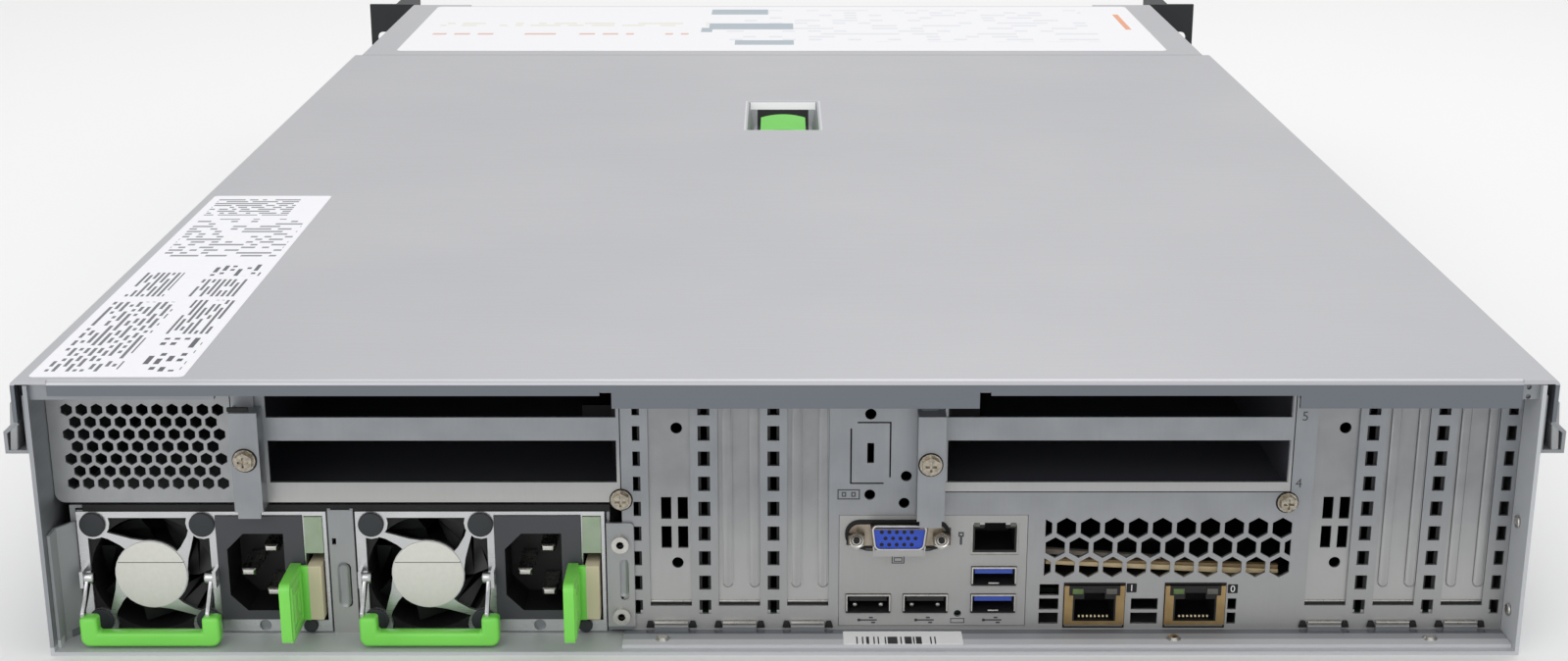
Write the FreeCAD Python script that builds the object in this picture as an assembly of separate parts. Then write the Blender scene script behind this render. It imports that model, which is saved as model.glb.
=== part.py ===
import FreeCAD, Part
import math
import os

# 2U rack server, modelled as a sheet-metal designer would: a folded tray,
# perforated rear sheets, a sliding lid, two hot-plug power supplies and
# four drive carriers. Millimetres. +X is the right-hand side seen from the
# rear, +Y runs from the rear to the front, +Z is up. Inside this file y is
# counted from the rear edge of the tray; save() moves the origin to the
# middle of the underside.

V = FreeCAD.Vector

# ---- driving dimensions -------------------------------------------------
LENGTH = 695.0          # rear edge of the tray to the back of the rack ears
HEIGHT = 85.0           # underside of the tray to the top of the lid
CHASSIS_W = 430.5       # outside of the side walls
LID_W = 437.5           # outside of the lid's skirts
RAIL_W = 445.0          # outside of the side rails
EAR_REACH = 26.05       # a rack ear beyond the side wall
SHEET = 1.2             # tray and lid steel
PANEL_T = 1.0           # rear panel steel
FIT = 0.3               # gap between parts that seat on each other
PANEL_Y = 13.5          # rear face of the recessed rear panel
TOP_FLANGE = 8.0        # inward flange along the top of each side wall

LID_LAP = 6.0           # the lid's seam lies this far behind the drive cage
LID_SLIDE = 18.0        # travel that frees the lid
SKIRT_H = 12.5          # lid skirt below the lid's top
BEND_R = 1.6            # outer bend radius of lid and cover
SEAM = 0.6              # gap between lid and front cover
COVER_W = 429.6         # fixed front cover
COVER_BACK = 7.0        # front edge of the cover, behind the ears' back

RECESS_W = 31.0         # pressed recess around the latch
RECESS_L = 63.0
RECESS_BACK = 183.5     # rear edge of the recess, behind the seam
RECESS_DEPTH = 10.0
LATCH_W = 19.6          # green touch latch
LATCH_L = 35.0
LATCH_LOW = 0.8         # the pad lies this far below the lid's top

SLOT_PITCH = 20.32      # expansion slot pitch
SLOT_WINDOW = 12.3      # width of a slot window
BLANK_W = 18.42         # slot blank
BLANK_T = 0.9
BLANK_FOOT = 9.8        # lower edge of the windows
LEFT_SLOT_X = -13.6     # middle slot of the left group
RIGHT_SLOT_X = 181.2    # middle slot of the right group
VENT_PITCH = 7.84       # vent slots between the expansion slots
VENT_W = 3.5
VENT_H = 4.5
VENT_Z0 = 9.4           # lowest vent slot centre
VENT_ROWS = 9

RISER_L = 175.5         # riser cages, front to back
RISER_BOTTOM = 42.9     # lower edge of the left riser cage
RIGHT_STEP = 3.3        # how much higher the right cage starts
CARD_H = 13.0           # height of a full-height card window
CARD_BAR = 7.1          # bar between two card windows
CARD_LOW = 49.1         # lower edge of the lower card window
LEFT_CARDS = (-150.6, -49.2)
RIGHT_CARDS = (46.9, 147.2)

HEX_PITCH = 4.376       # fine honeycomb, upper left
HEX_AF = 3.35
BIG_HEX_PITCH = 7.07    # hex vent above the network sockets
BIG_HEX_AF = 5.75

PSU_W = 73.5            # power supply
PSU_H = 38.5
PSU_L = 185.0
PSU_Z = 1.5             # underside, just above the floor
PSU_X = (-171.8, -89.9) # middles of the two supplies
PSU_TRAVEL = 190.0
PSU_FAN_R = 18.0        # bore of a supply's fan well
PSU_FAN_DX = -15.9      # fan centre from the supply's middle
PSU_FAN_Z = 20.1
GUARD_HALF = 17.9       # half of the guard's square opening
GUARD_HUB_R = 10.8
BAY_T = 0.9

HANDLE_W = 41.0         # green bail
HANDLE_T = 5.2
HANDLE_DX = 1.4         # the grip sits off the fan's centre line
HANDLE_PIVOT_Y = 11.3
HANDLE_PIVOT_Z = 20.0
HANDLE_BAR_Y = 4.0
HANDLE_BAR_D = 4.6      # depth of the bar
HANDLE_BAR_H = 4.3
HANDLE_LOW = 1.9        # underside of the bar
HANDLE_END = 9.2        # height of the two ends
STRAP_X = 18.3          # straps, either side of the fan centre

INLET_W = 25.5          # mains inlet housing
INLET_H = 33.0
INLET_DX = 16.9         # inlet centre from the supply's middle
INLET_Z = 22.2
SOCKET_W = 16.8
SOCKET_H = 24.6
SOCKET_DEPTH = 15.0

BOARD_Z = 5.4           # underside of the system board
BOARD_T = 1.6

SHROUD_L = 172.0        # air duct over the coolers
MEMORY_L = 140.0        # memory sockets
FAN_HEAD = 9.0          # main fan housings, below the lid's top in all
SHROUD_HEAD = 17.0      # air duct, below the lid's top
FAN_GAP = 14.0          # duct to fans
FAN_DEPTH = 38.0
FAN_COUNT = 4
FAN_PITCH = 104.0

DRIVE_W = 101.6         # 3.5 inch drives
DRIVE_H = 26.1
DRIVE_L = 147.0
BAYS = 4
BAY_PITCH = 105.5
BEZEL_OUT = 8.0         # carriers' front face, ahead of the ears' back
BEZEL_D = 18.0          # depth of a carrier's bezel
DRIVE_GAP = 4.0         # drive to backplane socket
SOCKET_OUT = 6.0        # backplane sockets
CARRIER_W = 103.9
CARRIER_H = 28.4
CARRIER_Z = 2.0
CARRIER_TRAVEL = 160.0

HOLE_INSET = 8.75       # rack holes from the ear's outer edge
RACK_UNIT = 44.45
EAR_DEEP = 23.0         # ear housings, ahead of the ears' back
BAY_DEPTH = 200.0       # power supply bay

# ---- worked-out places ----------------------------------------------------
HALF = CHASSIS_W / 2.0
WALL_IN = HALF - SHEET
LID_UNDER = HEIGHT - SHEET
WALL_TOP = LID_UNDER - FIT
PANEL_IN = PANEL_Y + PANEL_T
CROSS_UNDER = WALL_TOP - PANEL_T
PSU_TOP = PSU_Z + PSU_H
BOARD_TOP = BOARD_Z + BOARD_T
PSU_FACE = PANEL_IN     # the supplies' guards stand in the panel's thickness
FAN = HEIGHT - FAN_HEAD                 # square main fan housings
SHROUD_TOP = HEIGHT - SHROUD_HEAD
RISER_END = PANEL_IN + RISER_L
EAR_FRONT = LENGTH + EAR_DEEP
HOLE_X = HALF + EAR_REACH - HOLE_INSET
COVER_END = LENGTH - COVER_BACK
BAY_FRONT = LENGTH + BEZEL_OUT
BEZEL_Y = BAY_FRONT - BEZEL_D
BACKPLANE_Y = BEZEL_Y - DRIVE_L - DRIVE_GAP
CAGE_Y = BACKPLANE_Y - SOCKET_OUT
CAGE_FRONT = BEZEL_Y - PANEL_T
LID_L = CAGE_Y - LID_LAP
RECESS_Y = LID_L - RECESS_BACK
SPARE = CAGE_Y - BAY_DEPTH - SHROUD_L - FAN_GAP - FAN_DEPTH
SHROUD_Y = BAY_DEPTH + SPARE / 2.0      # duct and fans stand midway between bay and cage
CPU_Y = SHROUD_Y + MEMORY_L / 2.0 + 4.0
FAN_Y = SHROUD_Y + SHROUD_L + FAN_GAP


# ---- small geometry helpers ----------------------------------------------
def box(x0, x1, y0, y1, z0, z1):
    return Part.makeBox(x1 - x0, y1 - y0, z1 - z0, V(x0, y0, z0))


def cyl(x, y, z, r, length, axis):
    return Part.makeCylinder(r, length, V(x, y, z), axis)


def cyl_y(x, z, r, y0, y1):
    return cyl(x, y0, z, r, y1 - y0, V(0, 1, 0))


def wire(points):
    return Part.makePolygon(points + [points[0]])


def outline(points, y):
    """Closed outline in an XZ plane from (x, z) pairs."""
    return wire([V(x, y, z) for x, z in points])


def rect(x0, x1, z0, z1, y):
    return outline([(x0, z0), (x1, z0), (x1, z1), (x0, z1)], y)


def circle(x, z, r, y):
    edge = Part.makeCircle(r, V(x, y, z), V(0, -1, 0))
    return Part.Wire([edge])


def hexagon(x, z, across, y):
    r = across / math.sqrt(3.0)
    angles = [math.radians(30 + 60 * i) for i in range(6)]
    return outline([(x + r * math.cos(a), z + r * math.sin(a)) for a in angles], y)


def ring(x, z, r, y, sides=16):
    """Many-sided outline for a small round."""
    angles = [2 * math.pi * i / sides for i in range(sides)]
    return outline([(x + r * math.cos(a), z + r * math.sin(a)) for a in angles], y)


def stadium(x, z0, z1, w, y):
    """Upright slot with faceted round ends."""
    r = w / 2.0
    points = []
    for middle, first in ((z1 - r, 0.0), (z0 + r, 180.0)):
        for step in range(5):
            a = math.radians(first + 45 * step)
            points.append((x + r * math.cos(a), middle + r * math.sin(a)))
    return outline(points, y)


def rounded(x0, x1, z0, z1, r, y):
    """Rectangle with round corners in an XZ plane."""
    k = r * (1 - math.sqrt(0.5))
    edges = []
    lines = [
        (V(x0 + r, y, z0), V(x1 - r, y, z0)), (V(x1, y, z0 + r), V(x1, y, z1 - r)),
        (V(x1 - r, y, z1), V(x0 + r, y, z1)), (V(x0, y, z1 - r), V(x0, y, z0 + r)),
    ]
    mids = [V(x1 - k, y, z0 + k), V(x1 - k, y, z1 - k), V(x0 + k, y, z1 - k), V(x0 + k, y, z0 + k)]
    for i, (start, end) in enumerate(lines):
        edges.append(Part.makeLine(start, end))
        edges.append(Part.Arc(end, mids[i], lines[(i + 1) % 4][0]).toShape())
    return Part.Wire(edges)


def plate(outer, holes, depth):
    """Perforated plate: an outline with holes, given depth along +Y."""
    if holes:
        face = Part.makeFace([outer] + holes, "Part::FaceMakerBullseye")
    else:
        face = Part.Face(outer)
    return face.extrude(V(0, depth, 0))


def prism_y(points, y0, y1):
    return Part.Face(outline(points, y0)).extrude(V(0, y1 - y0, 0))


def prism_z(points, z0, z1):
    face = Part.Face(wire([V(x, y, z0) for x, y in points]))
    return face.extrude(V(0, 0, z1 - z0))


def prism_x(points, x0, x1):
    face = Part.Face(wire([V(x0, y, z) for y, z in points]))
    return face.extrude(V(x1 - x0, 0, 0))


def strip(points, t):
    """Outline of a bent sheet: the given path, thickened to its left."""
    offset = []
    n = len(points)
    normals = []
    for i in range(n - 1):
        dx = points[i + 1][0] - points[i][0]
        dz = points[i + 1][1] - points[i][1]
        size = math.hypot(dx, dz)
        normals.append((-dz / size, dx / size))
    for i in range(n):
        first = normals[max(i - 1, 0)]
        second = normals[min(i, n - 2)]
        scale = t / (1 + first[0] * second[0] + first[1] * second[1])
        offset.append((points[i][0] + (first[0] + second[0]) * scale,
                       points[i][1] + (first[1] + second[1]) * scale))
    return points + offset[::-1]


def fuse(shapes):
    body = shapes[0]
    if len(shapes) > 1:
        body = body.fuse(shapes[1:])
    return body.removeSplitter()


def cut(body, tools):
    return body.cut(tools)


def group(shapes):
    """Separate solids that share one node."""
    return Part.makeCompound(shapes)


def mirror_x(shape):
    return shape.mirror(V(0, 0, 0), V(1, 0, 0))


def moved(shape, dx=0.0, dy=0.0, dz=0.0):
    copy = shape.copy()
    copy.translate(V(dx, dy, dz))
    return copy


def save(name, shape):
    placed = moved(shape, 0, -LENGTH / 2.0, 0)
    placed.exportStep("parts/" + name + ".step")
    print(name, len(placed.Solids), "solid(s)", round(placed.Volume))


# ---- tray, crossbar and rails ----------------------------------------------
def chassis_tray():
    """Folded floor and side walls with inward top flanges and board posts."""
    shell = box(-HALF, HALF, 0, LENGTH, 0, WALL_TOP)
    inside = box(-WALL_IN, WALL_IN, 0, LENGTH, SHEET, WALL_TOP - SHEET)
    mouth = WALL_IN - TOP_FLANGE
    slot = box(-mouth, mouth, 0, LENGTH, SHEET, HEIGHT)
    corner = box(-WALL_IN, WALL_IN, 0, PANEL_IN + TOP_FLANGE, SHEET, HEIGHT)
    tray = cut(shell, [inside, slot, corner])
    posts = []
    outer = WALL_IN - 24.0
    for x in (-outer, -0.35 * outer, 0.35 * outer, outer):
        for y in (BAY_DEPTH + 25.0, FAN_Y - 53.0):
            ring = [(x + 3 * math.cos(a), y + 3 * math.sin(a)) for a in hex_angles()]
            posts.append(prism_z(ring, SHEET / 2, BOARD_Z))
    return fuse([tray] + posts)


def hex_angles():
    return [math.radians(60 * i) for i in range(6)]


LID_DEEP = 8.4          # how far the lid's rear flange hangs, deep stretches
LID_SHALLOW = 4.6
LID_FLANGE = 208.5      # half width of the rear flange
NOTCH = 3.4
CARD_EDGES = (-52.6, -49.2, 55.0, 58.2, 145.8)
HEM_LEFT = -162.0


def rear_crossbar():
    """Strip across the open rear corners, with a hem at its outer ends."""
    low = HEIGHT - LID_SHALLOW + FIT
    hem = HEIGHT - LID_SHALLOW - 1.7
    y0 = BEND_R + FIT
    right = CARD_EDGES[4] + FIT
    front = prism_y([(-WALL_IN, hem), (HEM_LEFT, hem), (HEM_LEFT, low), (right, low),
                     (right, hem), (WALL_IN, hem), (WALL_IN, WALL_TOP), (-WALL_IN, WALL_TOP)],
                    y0, y0 + PANEL_T)
    shelf = box(-WALL_IN, WALL_IN, y0, PANEL_IN + TOP_FLANGE - FIT, CROSS_UNDER, WALL_TOP)
    fold = box(-WALL_IN, HEM_LEFT, y0 + PANEL_T, y0 + 2 * PANEL_T, hem, hem + 2.4)
    bar = fuse([front, shelf, fold])
    holes = [cyl_y(LID_FLANGE + 2.2, WALL_TOP - dz, 0.7, y0 - 1, y0 + 2) for dz in (1.2, 4.0)]
    return cut(bar, holes)


def side_rails():
    """C-section members along both walls, below the lid's skirts."""
    web = HALF
    lip = HEIGHT - SKIRT_H - FIT
    out = RAIL_W / 2.0
    low = lip - 9.6
    path = [(web, HEIGHT - 5.0), (web, low), (out, low), (out, lip - 3.0), (LID_W / 2.0 - 0.4, lip)]
    rail = prism_y(strip(path, PANEL_T), SHEET + FIT, LENGTH - 60.0)
    return group([rail, mirror_x(rail)])


# ---- lid and front cover ---------------------------------------------------
def bent_profile(half, drop, t):
    """Cross-section of a lid: flat top, round bends and short skirts."""
    outer = half_lid(half, HEIGHT - drop, HEIGHT, BEND_R)
    inner = half_lid(half - t, HEIGHT - drop, HEIGHT - t, BEND_R - t)
    return Part.Face(outer).cut(Part.Face(inner))


def half_lid(half, z0, z1, r):
    k = r * (1 - math.sqrt(0.5))
    a, b = V(-half, 0, z0), V(-half, 0, z1 - r)
    c, d = V(-half + r, 0, z1), V(half - r, 0, z1)
    e, f = V(half, 0, z1 - r), V(half, 0, z0)
    return Part.Wire([
        Part.makeLine(a, b), Part.Arc(b, V(-half + k, 0, z1 - k), c).toShape(),
        Part.makeLine(c, d), Part.Arc(d, V(half - k, 0, z1 - k), e).toShape(),
        Part.makeLine(e, f), Part.makeLine(f, a),
    ])


def lid_flange():
    """Stepped flange hanging from the rear edge of the lid."""
    deep = HEIGHT - LID_DEEP
    shallow = HEIGHT - LID_SHALLOW
    high = HEIGHT - NOTCH
    a, b, c, d, e = CARD_EDGES
    w = LID_FLANGE
    points = [(-w, shallow), (a, shallow), (a, high), (b, high), (b, deep), (c, deep),
              (c, high), (d, high), (d, shallow), (e, shallow), (e, deep), (w, deep),
              (w, HEIGHT - BEND_R), (-w, HEIGHT - BEND_R)]
    hanging = prism_y(points, 0, SHEET)
    r = BEND_R
    k = r * (1 - math.sqrt(0.5))
    rear = [V(-w, 0, HEIGHT - r), V(-w, r, HEIGHT), V(-w, r, HEIGHT - r)]
    arc = Part.Arc(rear[0], V(-w, k, HEIGHT - k), rear[1]).toShape()
    section = Part.Wire([arc, Part.makeLine(rear[1], rear[2]), Part.makeLine(rear[2], rear[0])])
    bend = Part.Face(section).extrude(V(2 * w, 0, 0))
    return [hanging, bend]


def latch_recess():
    """Pressed recess with sloping walls around the lid latch."""
    taper = 2.4
    t = PANEL_T
    ends = (RECESS_Y, RECESS_Y + RECESS_L)

    def layer(x, y0, y1, z):
        return wire([V(-x, y0, z), V(x, y0, z), V(x, y1, z), V(-x, y1, z)])

    half = RECESS_W / 2.0
    bottom = HEIGHT - RECESS_DEPTH
    cup = Part.makeLoft([
        layer(half + t, ends[0] - t, ends[1] + t, LID_UNDER),
        layer(half + t - taper, ends[0] - t + 0.4, ends[1] + t - 3 * taper, bottom - t)], True)
    hollow = Part.makeLoft([
        layer(half, ends[0], ends[1], HEIGHT),
        layer(half - taper, ends[0] + 0.4, ends[1] - 3 * taper, bottom)], True)
    return cup, hollow


def lid():
    top = bent_profile(LID_W / 2.0, SKIRT_H, SHEET).extrude(V(0, LID_L, 0))
    rear_edge = box(-LID_FLANGE, LID_FLANGE, -1, BEND_R, HEIGHT - 2 * BEND_R, HEIGHT + 1)
    cup, hollow = latch_recess()
    body = fuse([cut(top, [rear_edge])] + lid_flange() + [cup])
    half = LATCH_W / 2.0 + 0.15
    slot = box(-half, half, LATCH_PIN_Y - 3.4, RECESS_Y + RECESS_L - 16.0,
               HEIGHT - RECESS_DEPTH - 3, HEIGHT - RECESS_DEPTH + 0.01)
    ears = []
    for side in (-1, 1):
        x = side * (LATCH_W / 2.0 + FIT + 0.8)
        ears.append(box(x - 0.8, x + 0.8, LATCH_PIN_Y - 2.4, LATCH_PIN_Y + 2.4,
                        HEIGHT - RECESS_DEPTH - PANEL_T, LATCH_PIN_Z + 2.2))
    body = fuse([cut(body, [hollow])] + ears)
    reach = LATCH_W / 2.0 + FIT + 1.5
    pin = cyl(-reach, LATCH_PIN_Y, LATCH_PIN_Z, LATCH_PIN_R + 0.05, 2 * reach, V(1, 0, 0))
    return cut(body, [pin, slot])


LATCH_PIN_R = 1.0
LATCH_PIN_Y = RECESS_Y + 5.0
LATCH_PIN_Z = HEIGHT - 7.2


def lid_latch():
    """Green touch latch: a crowned pad with an arched free edge and a hook."""
    half = LATCH_W / 2.0
    top = HEIGHT - LATCH_LOW
    y0 = LATCH_PIN_Y - 2.4
    y1 = y0 + LATCH_L
    bow = 3.2
    floor = LATCH_PIN_Z - 1.9
    corner = [V(-half, y0, floor), V(half, y0, floor), V(half, y1 - bow, floor), V(-half, y1 - bow, floor)]
    front = Part.Arc(corner[2], V(0, y1, floor), corner[3]).toShape()
    base = Part.Wire([Part.makeLine(corner[0], corner[1]), Part.makeLine(corner[1], corner[2]),
                      front, Part.makeLine(corner[3], corner[0])])
    pad = Part.Face(base).extrude(V(0, 0, top - floor))
    crown_r = 60.0
    crown = cyl(0, y0 - 1, top - crown_r, crown_r, LATCH_L + 2, V(0, 1, 0))
    heel = prism_x([(y0 - 1, floor + 3.6), (y0, floor + 4.9), (LATCH_PIN_Y, top), (LATCH_PIN_Y, top + 1),
                    (y0 - 1, top + 1)], -half - 1, half + 1)
    pad = cut(pad.common(crown), [heel])
    pin = cyl(-half - FIT - 1.3, LATCH_PIN_Y, LATCH_PIN_Z, LATCH_PIN_R, LATCH_W + 2 * FIT + 2.6, V(1, 0, 0))
    low = SHROUD_TOP + 1.2
    hook = box(-4.0, 4.0, y0 + 14.0, y0 + 17.0, low + 1.0, floor + 0.5)
    toe = box(-4.0, 4.0, y0 + 12.0, y0 + 17.0, low, low + 1.5)
    return fuse([pad, pin, hook, toe])


def front_cover():
    """Fixed cover ahead of the seam, with a slightly proud tab at each side."""
    y0 = LID_L + SEAM
    half = COVER_W / 2.0
    face = Part.Face(half_lid(half, LID_UNDER, HEIGHT, BEND_R / 2.0))
    top = moved(face.extrude(V(0, COVER_END - y0, 0)), 0, y0, 0)
    waist = box(-half + 34.0, half - 34.0, COVER_END - 5.0, COVER_END + 1, LID_UNDER - 1, HEIGHT + 1)
    seat = HALF - 3.0
    lips = [box(side * seat - 2.0, side * seat + 2.0, y0, COVER_END, WALL_TOP, LID_UNDER + 0.2)
            for side in (-1, 1)]
    return fuse([cut(top, [waist])] + lips)


# ---- rear panel and what stands in it ---------------------------------------
def vent_rows():
    return [VENT_Z0 + VENT_PITCH * i for i in range(VENT_ROWS)]


def vent_column(x, width):
    return [rect(x - width / 2.0, x + width / 2.0, z - VENT_H / 2.0, z + VENT_H / 2.0, PANEL_Y)
            for z in vent_rows()]


def slot_centres(middle):
    return [middle - SLOT_PITCH, middle, middle + SLOT_PITCH]


PANEL_LEFT = -48.0      # left edge of the rear panel
PANEL_TOP = CROSS_UNDER
SHIELD = (15.8, 71.6, 3.2, 38.8)
LOCK = (19.4, 30.4, 49.0, 67.4)
PANEL_HOLES = ((24.8, 70.2, 1.65), (24.8, 45.2, 1.6), (35.4, 51.0, 1.6), (34.9, 42.6, 1.6))
HEX_ROWS = (34.6, 28.4, 22.2)
HEX_LEFT = 76.7
HEX_RIGHT = 149.4
LAN_CUT = (75.6, 134.4, 3.4, 17.2)
LAN_X = (92.0, 122.0)
LAN_W = 17.9
SCREWS = ((-155.9, 58.6, 6.8, 3.3), (42.0, 57.2, 6.8, 3.3), (-48.15, 43.8, PANEL_Y, 3.1), (147.4, 42.9, PANEL_Y, 3.0))
SCREW_SHANK = 1.5


def big_hexes():
    """Three staggered rows, clipped square at both ends."""
    holes = []
    first = 82.9
    for row, z in enumerate(HEX_ROWS):
        start = first - BIG_HEX_PITCH * (1.0 if row != 1 else 0.44)
        count = 11
        for i in range(count):
            x = start + BIG_HEX_PITCH * i
            holes.append(clipped_hex(x, z))
    return [hole for hole in holes if hole]


def clipped_hex(x, z):
    r = BIG_HEX_AF / math.sqrt(3.0)
    half = BIG_HEX_AF / 2.0
    left = max(x - half, HEX_LEFT)
    right = min(x + half, HEX_RIGHT)
    if right - left < 1.2:
        return None
    slope = r / 2.0 / half

    def reach(at):
        return r - abs(at - x) * slope

    points = [(left, z - reach(left)), (right, z - reach(right)), (right, z + reach(right)), (left, z + reach(left))]
    if left < x < right:
        points.insert(1, (x, z - r))
        points.insert(4, (x, z + r))
    return outline(points, PANEL_Y)


def lan_vents():
    """Small rectangular vents beside the network sockets."""
    x0, x1, z0, z1 = LAN_CUT
    cell = (z1 - z0) / 3.0
    holes = []
    for i in range(3):
        low = z0 + cell * i + 0.5
        holes.append(rect(x0, x0 + 5.8, low, low + cell - 1.0, PANEL_Y))
    middle = (LAN_X[0] + LAN_X[1]) / 2.0
    for i in range(2):
        low = z0 + cell * i + 0.5
        holes.append(rect(middle - 4.0, middle + 4.0, low, low + cell - 1.0, PANEL_Y))
        holes.append(rect(x1 - 2.6, x1, low, low + cell - 1.0, PANEL_Y))
    return holes


def knockout():
    """Slit round the lock knock-out plate; two nibs still hold it."""
    x0, x1, z0, z1 = LOCK
    g = 0.45
    nib = 1.6
    upper = [(x0 - g, z0 - g), (x0 - g, z1 - nib), (x0, z1 - nib), (x0, z0), (x1 - nib, z0), (x1 - nib, z0 - g)]
    lower = [(x1 + g, z1 + g), (x1 + g, z0 + nib), (x1, z0 + nib), (x1, z1), (x0 + nib, z1), (x0 + nib, z1 + g)]
    slot = rect((x0 + x1) / 2.0 - 1.0, (x0 + x1) / 2.0 + 1.0, (z0 + z1) / 2.0 - 3.1, (z0 + z1) / 2.0 + 3.1, PANEL_Y)
    return [outline(upper, PANEL_Y), outline(lower, PANEL_Y), slot]


def rear_panel():
    """Main perforated sheet: windows, vents, hexes and the floor flange."""
    low = SHEET
    right = WALL_IN - FIT / 2.0
    step = RIGHT_CARDS[0] - 0.8
    sill = RISER_BOTTOM + 3.0
    edge = RIGHT_CARDS[1] + 1.1
    frame = [(PANEL_LEFT, low), (right, low), (right, PANEL_TOP), (edge, PANEL_TOP), (edge, sill),
             (step, sill), (step, PANEL_TOP), (PANEL_LEFT, PANEL_TOP)]
    holes = []
    window_top = PANEL_TOP - 2.5
    for x in slot_centres(LEFT_SLOT_X) + slot_centres(RIGHT_SLOT_X):
        half = SLOT_WINDOW / 2.0
        holes.append(rect(x - half, x + half, BLANK_FOOT, window_top, PANEL_Y))
    gap = SLOT_PITCH / 2.0
    for middle in (LEFT_SLOT_X, RIGHT_SLOT_X):
        holes += vent_column(middle - gap, VENT_W) + vent_column(middle + gap, VENT_W)
    holes += vent_column(LEFT_SLOT_X - 3 * gap + 0.6, 2.2)
    holes += vent_column(RIGHT_SLOT_X + 3 * gap - 0.4, 2.8)
    holes += [circle(x, z, r, PANEL_Y) for x, z, r in PANEL_HOLES]
    holes += [rect(SHIELD[0], SHIELD[1], SHIELD[2], SHIELD[3], PANEL_Y)]
    holes += knockout() + big_hexes() + lan_vents()
    for x in LAN_X:
        holes.append(rect(x - LAN_W / 2.0 - 0.2, x + LAN_W / 2.0 + 0.2, LAN_CUT[2], LAN_CUT[3] - 0.4, PANEL_Y))
    sheet = plate(outline(frame, PANEL_Y), holes, PANEL_T)
    flange = box(PANEL_LEFT, right, 2.6, PANEL_IN, SHEET, SHEET + PANEL_T)
    pockets = []
    slits = []
    for x in slot_centres(LEFT_SLOT_X) + slot_centres(RIGHT_SLOT_X):
        pockets.append(prism_x([(PANEL_Y + 0.5, SHEET + 0.4), (PANEL_Y - 1.6, SHEET + 0.4),
                                (PANEL_Y - 1.6, SHEET + 2.4), (PANEL_Y + 0.5, SHEET + 3.9)], x - 5.0, x + 5.0))
        for side in (-1, 1):
            slits.append(box(x + side * 6.3 - 1.1, x + side * 6.3 + 1.1, PANEL_Y - 2.6, PANEL_Y - 0.6,
                             SHEET - 0.5, SHEET + PANEL_T + 0.5))
    body = fuse([sheet, flange] + pockets)
    bolts = [cyl_y(x, z, SCREW_SHANK + 0.05, PANEL_Y - 1, PANEL_IN + 1) for x, z, y, r in SCREWS[2:]]
    return cut(body, bolts + slits)


def slot_blank(x, ribbed):
    """Filler bracket for an empty expansion slot."""
    half = BLANK_W / 2.0
    y = PANEL_IN
    top = PANEL_TOP - FIT
    holes = []
    if not ribbed:
        holes += [circle(x + 2.2, 65.6, 1.7, y), circle(x + 2.1, 23.3, 1.7, y)]
        for column in (-1.3, 3.6):
            for low in (28.0, 37.2):
                holes.append(rect(x + column - 1.3, x + column + 1.7, low, low + 6.9, y))
    shape = [(x - half, BLANK_FOOT - 4.0), (x - 5.1, BLANK_FOOT - 5.6), (x - 5.1, SHEET + FIT), (x + 5.1, SHEET + FIT),
             (x + 5.1, BLANK_FOOT - 5.6), (x + half, BLANK_FOOT - 4.0), (x + half, top), (x - half, top)]
    body = plate(outline(shape, y), holes, BLANK_T)
    if not ribbed:
        return body
    ribs = [plate(stadium(x + dx, BLANK_FOOT + 5.9, PANEL_TOP - 6, 3.0, y - 0.6), [], 1.0) for dx in (-3.4, 4.5)]
    return fuse([body] + ribs)


def slot_blanks():
    blanks = []
    for middle in (LEFT_SLOT_X, RIGHT_SLOT_X):
        for i, x in enumerate(slot_centres(middle)):
            blanks.append(slot_blank(x, i > 0))
    return group(blanks)


def honeycomb_panel():
    """Fine honeycomb vent above the left power supply."""
    left = -WALL_IN + FIT / 2.0
    right = LEFT_POST[0] - 1.0
    top = PANEL_TOP
    r = 3.0
    y = PANEL_Y
    low = RISER_BOTTOM
    arc = Part.Arc(V(left, y, low + r), V(left + r * 0.293, y, low + r * 0.293), V(left + r, y, low)).toShape()
    edge = Part.Wire([
        arc, Part.makeLine(V(left + r, y, low), V(right, y, low)),
        Part.makeLine(V(right, y, low), V(right, y, top)), Part.makeLine(V(right, y, top), V(left, y, top)),
        Part.makeLine(V(left, y, top), V(left, y, low + r)),
    ])
    holes = []
    pitch_z = HEX_PITCH * math.sqrt(0.75)
    for row in range(7):
        count = 11 - row % 2
        for i in range(count):
            x = HONEY_X + HEX_PITCH * (i + 0.5 * (row % 2))
            holes.append(hexagon(x, HONEY_Z - pitch_z * row, HEX_AF, y))
    sheet = plate(edge, holes, PANEL_T)
    lip = box(left + r, right, y + PANEL_T / 2.0, y + 18.0, low, low + PANEL_T)
    return fuse([sheet, lip])


HONEY_X = -208.1        # first hole of the top honeycomb row
HONEY_Z = PANEL_TOP - 10.9
LEFT_POST = (-159.8, -151.6)
RIGHT_POST = (38.3, 46.3)
POST_Y = 6.8


def post(x0, x1, z0, z1, foot):
    """Bent clamp bracket: box section with a tongue at its top."""
    t = PANEL_T
    section = [(x0, PANEL_Y), (x0, POST_Y), (x1, POST_Y), (x1, PANEL_Y)]
    body = prism_z(strip(section, t), z0, z1)
    cap = box(x0, x1, POST_Y, PANEL_Y, z1 - t, z1)
    tongue = box(x0 + 1.2, x1 - 2.0, PANEL_Y - t, PANEL_Y, z1 - t, z1 + 5.2)
    toe = box(x0 + foot, x1 - foot, POST_Y, POST_Y + t, z0 - 2.0, z0 + t)
    return fuse([body, cap, tongue, toe])


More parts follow.
